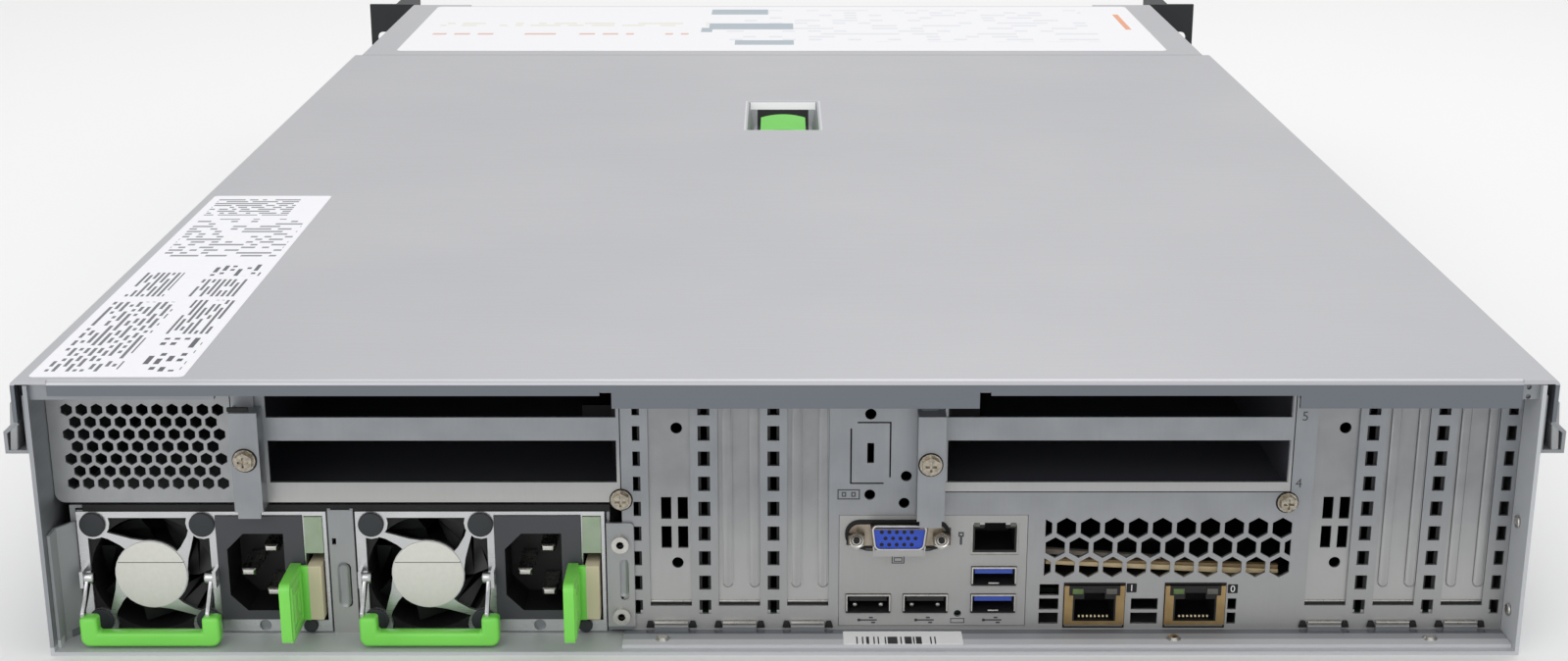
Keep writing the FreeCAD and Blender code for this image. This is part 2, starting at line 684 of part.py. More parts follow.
def riser_brackets():
    low = PSU_TOP + 2.4
    left = post(LEFT_POST[0], LEFT_POST[1], low, PANEL_TOP - 9.7, 0.8)
    right = post(RIGHT_POST[0], RIGHT_POST[1], 39.4, PANEL_TOP - 10.9, 0.8)
    brackets = []
    for body, screw in ((left, SCREWS[0]), (right, SCREWS[1])):
        brackets.append(cut(body, [cyl_y(screw[0], screw[1], SCREW_SHANK + 0.05, POST_Y - 1, POST_Y + 2)]))
    return group(brackets)


def riser_cage(x0, x1, low, left, right):
    """Riser cage: windowed rear sheet with a floor and two side cheeks."""
    y = PANEL_Y
    top = PANEL_TOP
    upper = CARD_LOW + CARD_H + CARD_BAR
    holes = [rect(x0, x1, CARD_LOW, CARD_LOW + CARD_H, y), rect(x0, x1, upper, top - 2.0, y)]
    sheet = plate(rect(left, right, low, top, y), holes, PANEL_T)
    floor = box(left, right, y + 0.4, RISER_END, low, low + PANEL_T)
    cheeks = [box(x, x + PANEL_T, y + 0.4, RISER_END, low, top) for x in (left, right - PANEL_T)]
    return fuse([sheet, floor] + cheeks)


def riser_cage_left():
    body = riser_cage(LEFT_CARDS[0], LEFT_CARDS[1], RISER_BOTTOM, LEFT_POST[0] - 0.7, PANEL_LEFT - FIT)
    x, z, y, r = SCREWS[2]
    return cut(body, [cyl_y(x, z, SCREW_SHANK + 0.05, PANEL_Y - 1, PANEL_IN + 3.0)])


def riser_cage_right():
    return riser_cage(RIGHT_CARDS[0], RIGHT_CARDS[1], RISER_BOTTOM + RIGHT_STEP, RIGHT_CARDS[0] - 0.5, RIGHT_CARDS[1] + 0.8)


def riser_boards():
    """Upright riser boards, each with two card-edge sockets."""
    boards = []
    seats = ((LEFT_CARDS[1] - 3.0, -1, RISER_BOTTOM), (RIGHT_CARDS[0] + 3.0, 1, RISER_BOTTOM + RIGHT_STEP))
    for x, side, floor in seats:
        low = floor + PANEL_T
        card = box(x - 0.8, x + 0.8, PANEL_IN + 30.5, RISER_END - 25.0, low, PANEL_TOP - 1.5)
        sockets = []
        for z in (CARD_LOW + 4.0, CARD_LOW + CARD_H + CARD_BAR + 4.0):
            inner = x + side * 0.7
            outer = x + side * 11.0
            y0 = PANEL_IN + 45.5
            y1 = RISER_END - 41.0
            mouth = (x + side * 3.0, outer + side)
            block = box(min(inner, outer), max(inner, outer), y0, y1, z - 3.7, z + 3.7)
            groove = box(min(mouth), max(mouth), y0 + 2.0, y1 - 2.0, z - 0.9, z + 0.9)
            sockets.append(cut(block, [groove]))
        boards.append(fuse([card] + sockets))
    return group(boards)


def panel_screws():
    """Hex-washer screws with a cross recess."""
    screws = []
    for x, z, y, r in SCREWS:
        washer = plate(ring(x, z, r, y - 0.8), [], 0.8)
        head = fuse([washer, plate(hexagon(x, z, r * 1.45, y - 2.4), [], 2.0)])
        cross = [box(x - 1.6, x + 1.6, y - 3, y - 1.4, z - 0.35, z + 0.35),
                 box(x - 0.35, x + 0.35, y - 3, y - 1.4, z - 1.6, z + 1.6)]
        shank = plate(ring(x, z, SCREW_SHANK, y - 0.5, 10), [], 4.0)
        screws.append(fuse([cut(head, cross), shank]))
    return group(screws)


RIVETS_X = (-36.3, 115.0, 191.0)
BUSHES = ((-48.6, 30.2), (-48.6, 7.2))
STRAP = (-52.4, -44.6, 2.6, 36.6)


def rivets():
    """Floor rivets and the two flanged bushes on the bay strap."""
    z = SHEET + PANEL_T
    heads = []
    for x in RIVETS_X:
        heads.append(Part.makeCone(2.2, 1.4, 0.7, V(x, 7.0, z)))
    for x, zc in BUSHES:
        y = PANEL_Y - PANEL_T
        heads.append(plate(ring(x, zc, 2.6, y - 1.6), [ring(x, zc, 1.15, y - 1.6)], 1.6))
    return group(heads)


# ---- ports ------------------------------------------------------------------
USB2 = ((24.7, 10.6), (41.7, 10.6))
USB3 = ((61.9, 19.4), (61.9, 10.6))
USB_W = 13.2
USB_H = 5.9
VGA = (33.45, 31.9)
VGA_POSTS = 12.5
MGMT = (61.9, 31.2)
LED = (51.4, 7.2)


def vga_outline(grow, y):
    """D-shaped outline: wide at the top, leaning sides."""
    x, z = VGA
    top, low, half = 8.0 + grow, 7.0 + grow, 3.9 + grow
    return outline([(x - low, z - half), (x + low, z - half), (x + top, z + half), (x - top, z + half)], y)


def io_shield():
    """Port shield: a thin sheet that fills the panel's window from behind."""
    x0, x1, z0, z1 = SHIELD
    y = PANEL_Y + 0.1
    c = 0.15
    holes = []
    for x, z in USB2 + USB3:
        holes.append(rect(x - USB_W / 2 - c, x + USB_W / 2 + c, z - USB_H / 2 - c, z + USB_H / 2 + c, y))
    x, z = VGA
    half = VGA_POSTS + 2.9
    low = 4.4
    holes.append(outline([(x - half, z - 2.6), (x - 9.2, z - low - 0.2), (x + 9.2, z - low - 0.2), (x + half, z - 2.6),
                          (x + half, z + 2.8), (x + 10.0, z + low + 0.3), (x - 10.0, z + low + 0.3), (x - half, z + 2.8)], y))
    holes.append(rect(MGMT[0] - 7.05, MGMT[0] + 7.05, MGMT[1] - 5.1, MGMT[1] + 5.1, y))
    holes.append(circle(LED[0], LED[1], 1.1, y))
    front = plate(rect(x0 + c, x1 - c, z0 + c, z1 - c, y), holes, PANEL_IN + 0.1 - y)
    back = []
    for hole in holes:
        back.append(moved(hole, 0, PANEL_IN - y, 0))
    rim = plate(rect(x0 + c + 0.2, x1 + 1.0, SHEET + 0.4, z1 + 1.0, PANEL_IN), back, 0.4)
    return fuse([front, rim])


def vga_shell():
    """Flange, D-shaped shell and two hexagonal jack posts."""
    x, z = VGA
    y = PANEL_IN + 0.4
    flange = plate(rect(x - 15.4, x + 15.4, z - 6.2, z + 6.2, y), [vga_outline(0, y)], 0.8)
    shell = plate(vga_outline(0.45, y - 5.6), [vga_outline(0, y - 5.6)], 6.4)
    posts = []
    for side in (-1, 1):
        at = x + side * VGA_POSTS
        posts.append(plate(hexagon(at, z, 4.8, y - 4.6), [circle(at, z, 1.3, y - 4.6)], 5.0))
    return fuse([flange, shell] + posts)


def vga_insert():
    """Blue contact block with three rows of five holes."""
    x, z = VGA
    y = PANEL_IN - 4.6
    holes = []
    for row, shift in ((2.5, 0.0), (0.0, 1.15), (-2.5, 0.0)):
        for i in range(5):
            at = x + (i - 2) * 2.29 + shift - 0.5
            holes.append(outline([(at + 0.5 * math.cos(a), z + row + 0.5 * math.sin(a)) for a in hex_angles()], y))
    face = plate(vga_outline(-0.1, y), holes, 1.6)
    body = plate(vga_outline(-0.1, y + 1.5), [], 9.0)
    return fuse([face, body])


def usb_shells():
    shells = []
    for x, z in USB2 + USB3:
        y = PANEL_Y - 0.7
        outer = box(x - USB_W / 2, x + USB_W / 2, y, y + 14.0, z - USB_H / 2, z + USB_H / 2)
        t = 0.4
        inner = box(x - USB_W / 2 + t, x + USB_W / 2 - t, y - 1, y + 13.0, z - USB_H / 2 + t, z + USB_H / 2 - t)
        shells.append(cut(outer, [inner]))
    return group(shells)


def usb_tongues():
    """Contact tongues in the upper half of each socket."""
    tongues = []
    for x, z in USB2 + USB3:
        tongues.append(box(x - 5.6, x + 5.6, PANEL_Y + 0.6, PANEL_Y + 12.3, z + 0.5, z + 2.3))
    return group(tongues)


def jack(x, z, w, h, y, depth):
    """Modular network socket: block with a stepped cavity and latch notch."""
    low = z - h / 2.0
    shell = box(x - w / 2.0, x + w / 2.0, y, y + depth, low, z + h / 2.0)
    floor = low + 1.4
    mouth = box(x - 5.9, x + 5.9, y - 1, y + depth - 3, floor, floor + 7.0)
    notch = box(x - 3.1, x + 3.1, y - 1, y + depth - 5, floor + 6.9, floor + 9.0)
    return cut(shell, [mouth, notch])


def management_port():
    return jack(MGMT[0], MGMT[1], 14.0, 10.1, PANEL_Y + 0.3, 18.0)


def lan_ports():
    z = (LAN_CUT[2] + LAN_CUT[3] - 0.4) / 2.0
    return group([jack(x, z, LAN_W, 12.6, PANEL_Y - 0.7, 18.0) for x in LAN_X])


def lan_board():
    """Network card: board above the two sockets, with a flat chip."""
    z = LAN_CUT[3] + 0.1
    board = box(HEX_LEFT - 1.0, HEX_RIGHT + 1.0, PANEL_IN + 0.5, 62.0, z, z + 1.6)
    chip = box(104.0, 122.0, 42.0, 58.0, z + 1.5, z + 3.0)
    return fuse([board, chip])


# ---- power supply bay ----------------------------------------------------------
BAY_LEFT = PSU_X[0] - PSU_W / 2.0 - 0.45
BAY_RIGHT = PSU_X[1] + PSU_W / 2.0 + 0.45
DIVIDER = (PSU_X[0] + PSU_W / 2.0 + 0.45, PSU_X[1] - PSU_W / 2.0 - 0.45)


def psu_bay():
    """Guide sheets: flared left cheek, slotted divider, roof and right strap."""
    t = BAY_T
    wall = -WALL_IN + 0.1
    path = [(wall, 3.0), (wall, 9.0), (BAY_LEFT - t, PANEL_Y + 1.0), (BAY_LEFT - t, BAY_DEPTH)]
    cheek = prism_z(strip(path, -t), SHEET, PSU_TOP - 3.4)
    roof = box(BAY_LEFT - t, BAY_RIGHT + t, PANEL_IN + 1.0, BAY_DEPTH, PSU_TOP + 0.4, PSU_TOP + 0.4 + t)
    tie = box(BAY_LEFT - 2 * t, BAY_LEFT - 0.1, PANEL_IN + 1.0, BAY_DEPTH, PSU_TOP - 4.0, PSU_TOP + 0.4 + t)
    x0, x1 = DIVIDER
    middle = (x0 + x1) / 2.0
    face = plate(rect(x0, x1, SHEET, PSU_TOP + 0.4, PANEL_Y),
                 [stadium(middle + 1.0, 9.5, 23.5, 2.4, PANEL_Y), rect(x0 + 0.9, x0 + 2.1, 29.5, 31.5, PANEL_Y)], t)
    ends = [box(x0, x0 + t, PANEL_Y + 0.2, BAY_DEPTH, SHEET, PSU_TOP + 0.8),
            box(x1 - t, x1, PANEL_Y + 0.2, BAY_DEPTH, SHEET, PSU_TOP + 0.8)]
    right = box(BAY_RIGHT, BAY_RIGHT + t, PANEL_Y + 1.6, BAY_DEPTH, SHEET, PSU_TOP + 0.8)
    sx0, sx1, sz0, sz1 = STRAP
    front = PANEL_Y - PANEL_T
    flat = plate(rounded(sx0, sx1, sz0, sz1, 1.2, front),
                 [circle(x, z, 1.2, front) for x, z in BUSHES] + [stadium(-47.6, 12.0, 25.2, 2.6, front)], PANEL_T)
    web = box(BAY_RIGHT, BAY_RIGHT + t, front, PANEL_Y + 1.8, sz0, sz1)
    return fuse([cheek, tie, roof, face] + ends + [right, web, flat])


# ---- power supplies -------------------------------------------------------------
def fan_openings(x, z, y):
    """Four pinwheel openings between the hub and the guard's square edge."""
    half = GUARD_HALF
    field = Part.Face(rect(x - half, x + half, z - half, z + half, y))
    keep = [Part.Face(ring(x, z, GUARD_HUB_R, y, 36))]
    corner = half - 1.7
    for i in range(4):
        a = math.radians(90 * i)
        cx = x + corner * (math.cos(a) - math.sin(a))
        cz = z + corner * (math.sin(a) + math.cos(a))
        keep.append(Part.Face(ring(cx, cz, PLUG_R + 1.4, y)))
        keep.append(web_face(x, z, y, 90.0 * i))
    return field.cut(keep)


def web_face(x, z, y, turn):
    """One arm, tangent to the hub disc and running out to a corner."""
    arm = [(-16.0, 15.0), (-12.0, 13.2), (-5.0, 11.2), (-1.0, 10.6), (-5.0, 6.0), (-8.6, 9.2), (-12.0, 11.2), (-16.5, 12.6)]
    a = math.radians(turn)
    points = []
    for px, pz in arm:
        points.append((x + px * math.cos(a) - pz * math.sin(a), z + px * math.sin(a) + pz * math.cos(a)))
    return Part.Face(outline(points, y))


def psu_frame(cx):
    """Places inside one supply, worked out from its middle."""
    left = cx - PSU_W / 2.0
    return {"left": left, "right": left + PSU_W, "fan": cx + PSU_FAN_DX, "inlet": cx + INLET_DX,
            "pipe": cx + INLET_DX + INLET_W / 2.0 + 0.5}


LATCH_BASE_W = 4.2
LATCH_Z = (6.0, 24.4)
TAB_T = 3.1
TAB_OUT = 18.6          # tab reach in front of the guard
TAB_GAP = 1.9           # sideways step from the base to the tab
LATCH_POCKET = 13.0


def psu_case(cx):
    """Supply housing with the fan well, inlet well and latch pocket open."""
    p = psu_frame(cx)
    y = PSU_FACE
    body = box(p["left"], p["right"], y, y + PSU_L - PANEL_T, PSU_Z, PSU_TOP)
    fan_z = PSU_FAN_Z
    well = plate(ring(p["fan"], fan_z, PSU_FAN_R, y - 1, 40), [], 31.0)
    post_y = y + 14.0
    mast = cut(cyl_y(p["fan"], fan_z, 5.0, post_y, y + 31.0), [cyl_y(p["fan"], fan_z, 1.56, post_y - 1, y + 24.0)])
    half_w = INLET_W / 2.0 + 0.05
    half_h = INLET_H / 2.0 + 0.05
    seat = box(p["inlet"] - half_w, p["inlet"] + half_w, y - 1, y + 22.0, INLET_Z - half_h, INLET_Z + half_h)
    pipe = box(p["pipe"] - 0.1, p["right"] - 1.0, y - 1, y + LATCH_POCKET, 5.0, PSU_TOP - 1.2)
    grille = []
    for i in range(9):
        at = p["left"] + 6.0 + 7.2 * i
        grille.append(box(at, at + 3.4, y + PSU_L - 2.0, y + PSU_L, 12.0, 34.0))
    return fuse([cut(body, [well, seat, pipe] + grille), mast])


def psu_guard(cx):
    """Bright face sheet: pinwheel fan guard, inlet and latch openings."""
    p = psu_frame(cx)
    y = PANEL_Y
    half_w = INLET_W / 2.0 + 0.1
    half_h = INLET_H / 2.0 + 0.1
    holes = [rect(p["inlet"] - half_w, p["inlet"] + half_w, INLET_Z - half_h, INLET_Z + half_h, y),
             rect(p["pipe"], p["right"] - 1.1, 5.2, PSU_TOP - 1.4, y),
             ring(p["inlet"] - 0.2, 3.6, 1.8, y)]
    sheet = plate(rect(p["left"] + 0.1, p["right"] - 0.1, PSU_Z + 0.1, PSU_TOP - 0.1, y), holes, PANEL_T)
    openings = moved(fan_openings(p["fan"], PSU_FAN_Z, y), 0, -0.5, 0).extrude(V(0, PANEL_T + 1.0, 0))
    sheet = cut(sheet, [openings])
    plugs = []
    for dx, dz in ((-16.1, 15.9), (16.1, 15.9), (-16.1, -14.8), (16.1, -14.8)):
        plugs.append(plate(ring(p["fan"] + dx, PSU_FAN_Z + dz, PLUG_R, y - 0.7), [], 0.9))
    plugs.append(plate(ring(p["right"] - 6.4, 3.65, 1.95, y - 0.7), [], 0.9))
    ears = []
    for side in (-1, 1):
        x = p["fan"] + side * (STRAP_X + 1.25)
        ear = box(x - 0.5, x + 0.5, HANDLE_PIVOT_Y - 2.2, y + 0.2, HANDLE_PIVOT_Z - 2.6, HANDLE_PIVOT_Z + 2.6)
        ears.append(cut(ear, [cyl(x - 2, HANDLE_PIVOT_Y, HANDLE_PIVOT_Z, PIVOT_R + 0.05, 4, V(1, 0, 0))]))
    return fuse([sheet] + plugs + ears)


PLUG_R = 3.6
PIVOT_R = 0.9


def psu_handle(cx):
    """Green U-shaped bail on two bright straps with outward pivot pins."""
    fan = psu_frame(cx)["fan"]
    mid = fan + HANDLE_DX
    half = HANDLE_W / 2.0
    y0 = HANDLE_BAR_Y - HANDLE_BAR_D / 2.0
    y1 = y0 + HANDLE_BAR_D
    top = HANDLE_LOW + HANDLE_END
    gap = half - HANDLE_T
    low = HANDLE_LOW
    high = low + HANDLE_BAR_H
    u = [(-half, top), (-half, low + 2.4), (-half + 0.9, low + 0.8), (-half + 2.6, low), (half - 2.6, low),
         (half - 0.9, low + 0.8), (half, low + 2.4), (half, top), (gap, top), (gap, high), (-gap, high), (-gap, top)]
    grip = plate(outline([(mid + x, z) for x, z in u], y0), [], HANDLE_BAR_D)
    grip = grip.makeChamfer(0.8, front_edges(grip, y0))
    parts = [grip]
    for side in (-1, 1):
        x = fan + side * STRAP_X
        arm = [(y0 + 1.2, top - 4.0), (y1 - 0.8, top - 4.0), (HANDLE_PIVOT_Y + 1.6, HANDLE_PIVOT_Z - 3.0),
               (HANDLE_PIVOT_Y + 1.6, HANDLE_PIVOT_Z + 0.4), (HANDLE_PIVOT_Y + 0.6, HANDLE_PIVOT_Z + 1.8),
               (HANDLE_PIVOT_Y - 2.0, HANDLE_PIVOT_Z + 1.8), (y0 + 1.2, top + 2.0)]
        parts.append(prism_x(arm, x - 0.6, x + 0.6))
        boss = cyl(x - side * 1.6, HANDLE_PIVOT_Y, HANDLE_PIVOT_Z, 1.7, 1.4, V(side, 0, 0))
        pin = cyl(x, HANDLE_PIVOT_Y, HANDLE_PIVOT_Z, PIVOT_R, 1.9, V(side, 0, 0))
        parts += [boss, pin]
    return fuse(parts)


def front_edges(shape, y):
    """Edges of a solid that lie in the plane at the given depth."""
    return [e for e in shape.Edges if abs(e.BoundBox.YMin - y) < 1e-4 and abs(e.BoundBox.YMax - y) < 1e-4]


def psu_rotor(cx):
    """Fan rotor: cupped hub, shaft and seven twisted blades."""
    fan = psu_frame(cx)["fan"]
    y0 = PSU_FACE + 2.0
    y1 = PSU_FACE + 12.0
    hub = rotor_hub(fan, PSU_FAN_Z, 9.6, 7.4, y0, y1)
    shaft = cyl_y(fan, PSU_FAN_Z, 1.5, y0 + 1.0, y1 + 10.0)
    blades = [blade(fan, PSU_FAN_Z, y0 + 1.2, y1 - 1.2, 8.4, PSU_FAN_R - 0.7, 360.0 / 7 * i) for i in range(7)]
    return fuse([hub, shaft] + blades)


def rotor_hub(x, z, outer, inner, y0, y1):
    """Cup with a closed rear face."""
    cup = plate(ring(x, z, outer, y0, 24), [], y1 - y0)
    return cut(cup, [plate(ring(x, z, inner, y0 + 2.0, 24), [], y1 - y0)])


def blade(x, z, y0, y1, r0, r1, turn):
    """Twisted blade through three sections: steep at the root, flatter and wider at the tip."""
    rings = []
    for share, sweep, thick in ((0.0, 30.0, 1.5), (0.5, 38.0, 1.2), (1.0, 44.0, 0.9)):
        reach = r1 * math.cos(math.radians(sweep / 2.0))
        r = r0 + (reach - r0) * share
        half = r * math.tan(math.radians(sweep / 2.0))
        lean = math.radians(turn + 22.0 * share)
        out = V(math.cos(lean), 0, math.sin(lean))
        along = V(-math.sin(lean), 0, math.cos(lean))
        base = V(x, 0, z) + out * r
        rings.append([base + along * -half + V(0, y0, 0), base + along * half + V(0, y1 - thick, 0),
                      base + along * half + V(0, y1, 0), base + along * -half + V(0, y0 + thick, 0)])
    return faceted(rings)


def faceted(rings):
    """Solid through rings of four corners, each side split into flat triangles."""
    faces = [Part.Face(wire(rings[0])), Part.Face(wire(rings[-1]))]
    for low, high in zip(rings, rings[1:]):
        for i in range(4):
            j = (i + 1) % 4
            faces.append(Part.Face(wire([low[i], low[j], high[j]])))
            faces.append(Part.Face(wire([low[i], high[j], high[i]])))
    solid = Part.makeSolid(Part.makeShell(faces))
    if solid.Volume < 0:
        solid.reverse()
    return solid


def psu_inlet(cx):
    """Mains inlet: deep socket with two chamfered corners and three pins."""
    p = psu_frame(cx)
    x = p["inlet"]
    y = PANEL_Y - 0.6
    half_w = INLET_W / 2.0
    half_h = INLET_H / 2.0
    block = box(x - half_w, x + half_w, y, y + 22.0, INLET_Z - half_h, INLET_Z + half_h)
    sx = x - 1.4
    sz = INLET_Z - 1.3
    w = SOCKET_W / 2.0
    h = SOCKET_H / 2.0
    bevel = 5.0
    mouth = prism_y([(sx - w, sz - h + bevel), (sx - w + bevel, sz - h), (sx + w, sz - h), (sx + w, sz + h),
                     (sx - w + bevel, sz + h), (sx - w, sz + h - bevel)], y - 1, y + SOCKET_DEPTH)
    pins = [box(sx + 2.2, sx + 6.2, y + 2.5, y + SOCKET_DEPTH + 1, sz + dz - 1.0, sz + dz + 1.0) for dz in (-7.0, 7.0)]
    pins.append(box(sx - 4.6, sx - 0.6, y + 1.0, y + SOCKET_DEPTH + 1, sz - 1.0, sz + 1.0))
    return fuse([cut(block, [mouth])] + pins)


def psu_light_pipe(cx):
    """Translucent status light pipe above the release latch."""
    p = psu_frame(cx)
    return box(p["pipe"] + 0.1, p["right"] - 1.2, PANEL_Y - 0.5, PSU_FACE + LATCH_POCKET - 0.1, 27.0, PSU_TOP - 1.6)


def psu_latch(cx):
    """Release latch: ridged thumb tab joined to a base on an upright pin."""
    p = psu_frame(cx)
    x0 = latch_x(cx) - LATCH_BASE_W / 2.0
    base = box(x0, x0 + LATCH_BASE_W, PANEL_Y - 3.0, PSU_FACE + 8.0, LATCH_Z[0] + 0.6, LATCH_Z[1] - 0.6)
    tab_x = x0 - TAB_T - TAB_GAP
    y0 = PANEL_Y - TAB_OUT
    face = plate_x(tab_x, tab_x + TAB_T, y0, PANEL_Y - 1.9, LATCH_Z[0] - 0.4, LATCH_Z[1], 1.5)
    bridge = box(tab_x + TAB_T - 0.2, x0 + 0.2, PANEL_Y - 3.0, PANEL_Y - 1.9, LATCH_Z[0] + 0.6, LATCH_Z[1] - 0.6)
    grooves = []
    side = tab_x + TAB_T
    for i in range(3):
        at = y0 + 3.0 + 3.4 * i
        grooves.append(box(side - 0.4, side + 1, at, at + 1.2, LATCH_Z[0] + 2.0, LATCH_Z[1] - 2.4))
    pin = cyl(latch_x(cx), PSU_FACE + 4.0, 5.0 + 0.3, 0.9, 20.6, V(0, 0, 1))
    return fuse([cut(face, grooves), bridge, base, pin])


def latch_x(cx):
    p = psu_frame(cx)
    return (p["pipe"] + p["right"] - 1.1) / 2.0


def plate_x(x0, x1, y0, y1, z0, z1, r):
    """Plate across X with two round corners on its free edge."""
    k = r * (1 - math.sqrt(0.5))
    a, b = V(x0, y1, z0), V(x0, y0 + r, z0)
    c, d = V(x0, y0, z0 + r), V(x0, y0, z1 - r)
    e, f = V(x0, y0 + r, z1), V(x0, y1, z1)
    path = Part.Wire([
        Part.makeLine(a, b), Part.Arc(b, V(x0, y0 + k, z0 + k), c).toShape(), Part.makeLine(c, d),
        Part.Arc(d, V(x0, y0 + k, z1 - k), e).toShape(), Part.makeLine(e, f), Part.makeLine(f, a)])
    return Part.Face(path).extrude(V(x1 - x0, 0, 0))


# ---- inside -----------------------------------------------------------------------
def system_board():
    """L-shaped main board with two processor sockets, cut round the supply bay."""
    left = BAY_RIGHT + BAY_T + 1.5
    edge = WALL_IN - 2.0
    shape = [(left, PANEL_IN + 1.5), (edge, PANEL_IN + 1.5), (edge, FAN_Y - 12.0), (-edge, FAN_Y - 12.0),
             (-edge, BAY_DEPTH + 4.0), (left, BAY_DEPTH + 4.0)]
    board = prism_z(shape, BOARD_Z, BOARD_TOP)
    notch = box(LAN_CUT[0], LAN_CUT[1], 0, PANEL_Y + 19.5, 0, HEIGHT)
    board = cut(board, [notch])
    sockets = [box(x - 28, x + 28, CPU_Y - 28, CPU_Y + 28, BOARD_TOP - 0.2, BOARD_TOP + 4.0) for x in CPU_X]
    return fuse([board] + sockets)


CPU_X = (-100.0, 100.0)
SINK_W = 92.0


def heat_sinks():
    """Finned processor coolers, one combed block each."""
    sinks = []
    for cx in CPU_X:
        low = BOARD_TOP + 4.0
        block = box(cx - SINK_W / 2, cx + SINK_W / 2, CPU_Y - 45, CPU_Y + 45, low, SHROUD_TOP - 3.0)
        count = 15
        pitch = SINK_W / count
        gaps = []
        for i in range(count - 1):
            at = cx - SINK_W / 2 + pitch * (i + 1) - 1.6
            gaps.append(box(at, at + 3.6, CPU_Y - 46, CPU_Y + 46, low + 7.0, SHROUD_TOP))
        sinks.append(cut(block, gaps))
    return group(sinks)


def memory_modules():
    """Upright memory modules in their sockets, in banks beside each cooler."""
    modules = []
    for cx in CPU_X:
        for side in (-1, 1):
            for i in range(4):
                x = cx + side * (SINK_W / 2 + 8.0 + 9.0 * i)
                long = MEMORY_L / 2.0
                socket = box(x - 3.2, x + 3.2, CPU_Y - long, CPU_Y + long, BOARD_TOP, BOARD_TOP + 6.0)
                card = box(x - 1.6, x + 1.6, CPU_Y - long + 4, CPU_Y + long - 4, BOARD_TOP + 5.0, BOARD_TOP + 33.0)
                modules.append(fuse([socket, card]))
    return group(modules)


def air_shroud():
    """Moulded duct from the fans over the coolers and memory."""
    y0, y1 = SHROUD_Y, SHROUD_Y + SHROUD_L
    half = WALL_IN - 3.0
    z0, z1 = BOARD_TOP + FIT, SHROUD_TOP
    t = 2.0
    skin = []
    for shrink in (0.0, t):
        profile = [(-half + shrink, z0 - shrink * 2), (-half + shrink, 52.0 - shrink), (-half + 24 + shrink, z1 - shrink),
                   (half - 24 - shrink, z1 - shrink), (half - shrink, 52.0 - shrink), (half - shrink, z0 - shrink * 2)]
        skin.append(prism_y(profile, y0 - (1 if shrink else 0), y1 + (1 if shrink else 0)))
    return cut(skin[0], [skin[1]])


def fan_x(i):
    return (i - (FAN_COUNT - 1) / 2.0) * FAN_PITCH


FAN_Z = SHEET + FIT + FAN / 2.0 + 1.2


def fan_wall():
    """Four fan frames with struts and motor seats in one carrier."""
    y0, y1 = FAN_Y, FAN_Y + FAN_DEPTH
    low = FAN_Z - FAN / 2.0
    high = FAN_Z + FAN / 2.0
    half = WALL_IN - 1.0
    wall = box(-half, half, y0 + FAN_DEPTH - 6.0, y1, SHEET + 0.1, high)
    frames = []
    wells = []
    struts = []
    for i in range(FAN_COUNT):
        x = fan_x(i)
        frames.append(box(x - FAN / 2, x + FAN / 2, y0, y1, low, high))
        wells.append(plate(ring(x, FAN_Z, FAN / 2 - 1.8, y0 - 1, 40), [], FAN_DEPTH + 2))
        seat = plate(ring(x, FAN_Z, 15.0, y0, 20), [], 3.0)
        bars = [box(x - 1.5, x + 1.5, y0, y0 + 3.0, low + 0.5, high - 0.5),
                box(x - FAN / 2 + 0.5, x + FAN / 2 - 0.5, y0, y0 + 3.0, FAN_Z - 1.5, FAN_Z + 1.5)]
        mast = fuse([seat, plate(ring(x, FAN_Z, 6.0, y0), [], 12.0)] + bars)
        struts.append(cut(mast, [cyl_y(x, FAN_Z, 2.06, y0 + 1.0, y0 + 13.0)]))
    return fuse([cut(fuse([wall] + frames), wells)] + struts)


def fan_rotor(i):
    """Main fan rotor: hub cup, shaft and five twisted blades."""
    x = fan_x(i)
    y0 = FAN_Y + 8.0
    y1 = FAN_Y + FAN_DEPTH - 5.0
    hub = plate(ring(x, FAN_Z, 17.0, y0, 24), [], y1 - y0)
    hub = cut(hub, [plate(ring(x, FAN_Z, 14.0, y0 - 3.0, 24), [], y1 - y0)])
    shaft = cyl_y(x, FAN_Z, 2.0, FAN_Y + 2.0, y1 - 2.0)
    blades = []
    for k in range(5):
        blades.append(blade(x, FAN_Z, y0 + 1.5, y1 - 1.5, 15.4, FAN / 2 - 3.4, 72.0 * k))
    return fuse([hub, shaft] + blades)


# ---- front ------------------------------------------------------------------------
BAY_TOP = CARRIER_Z + CARRIER_H + 0.6


def bay_x(i):
    return (i - (BAYS - 1) / 2.0) * BAY_PITCH


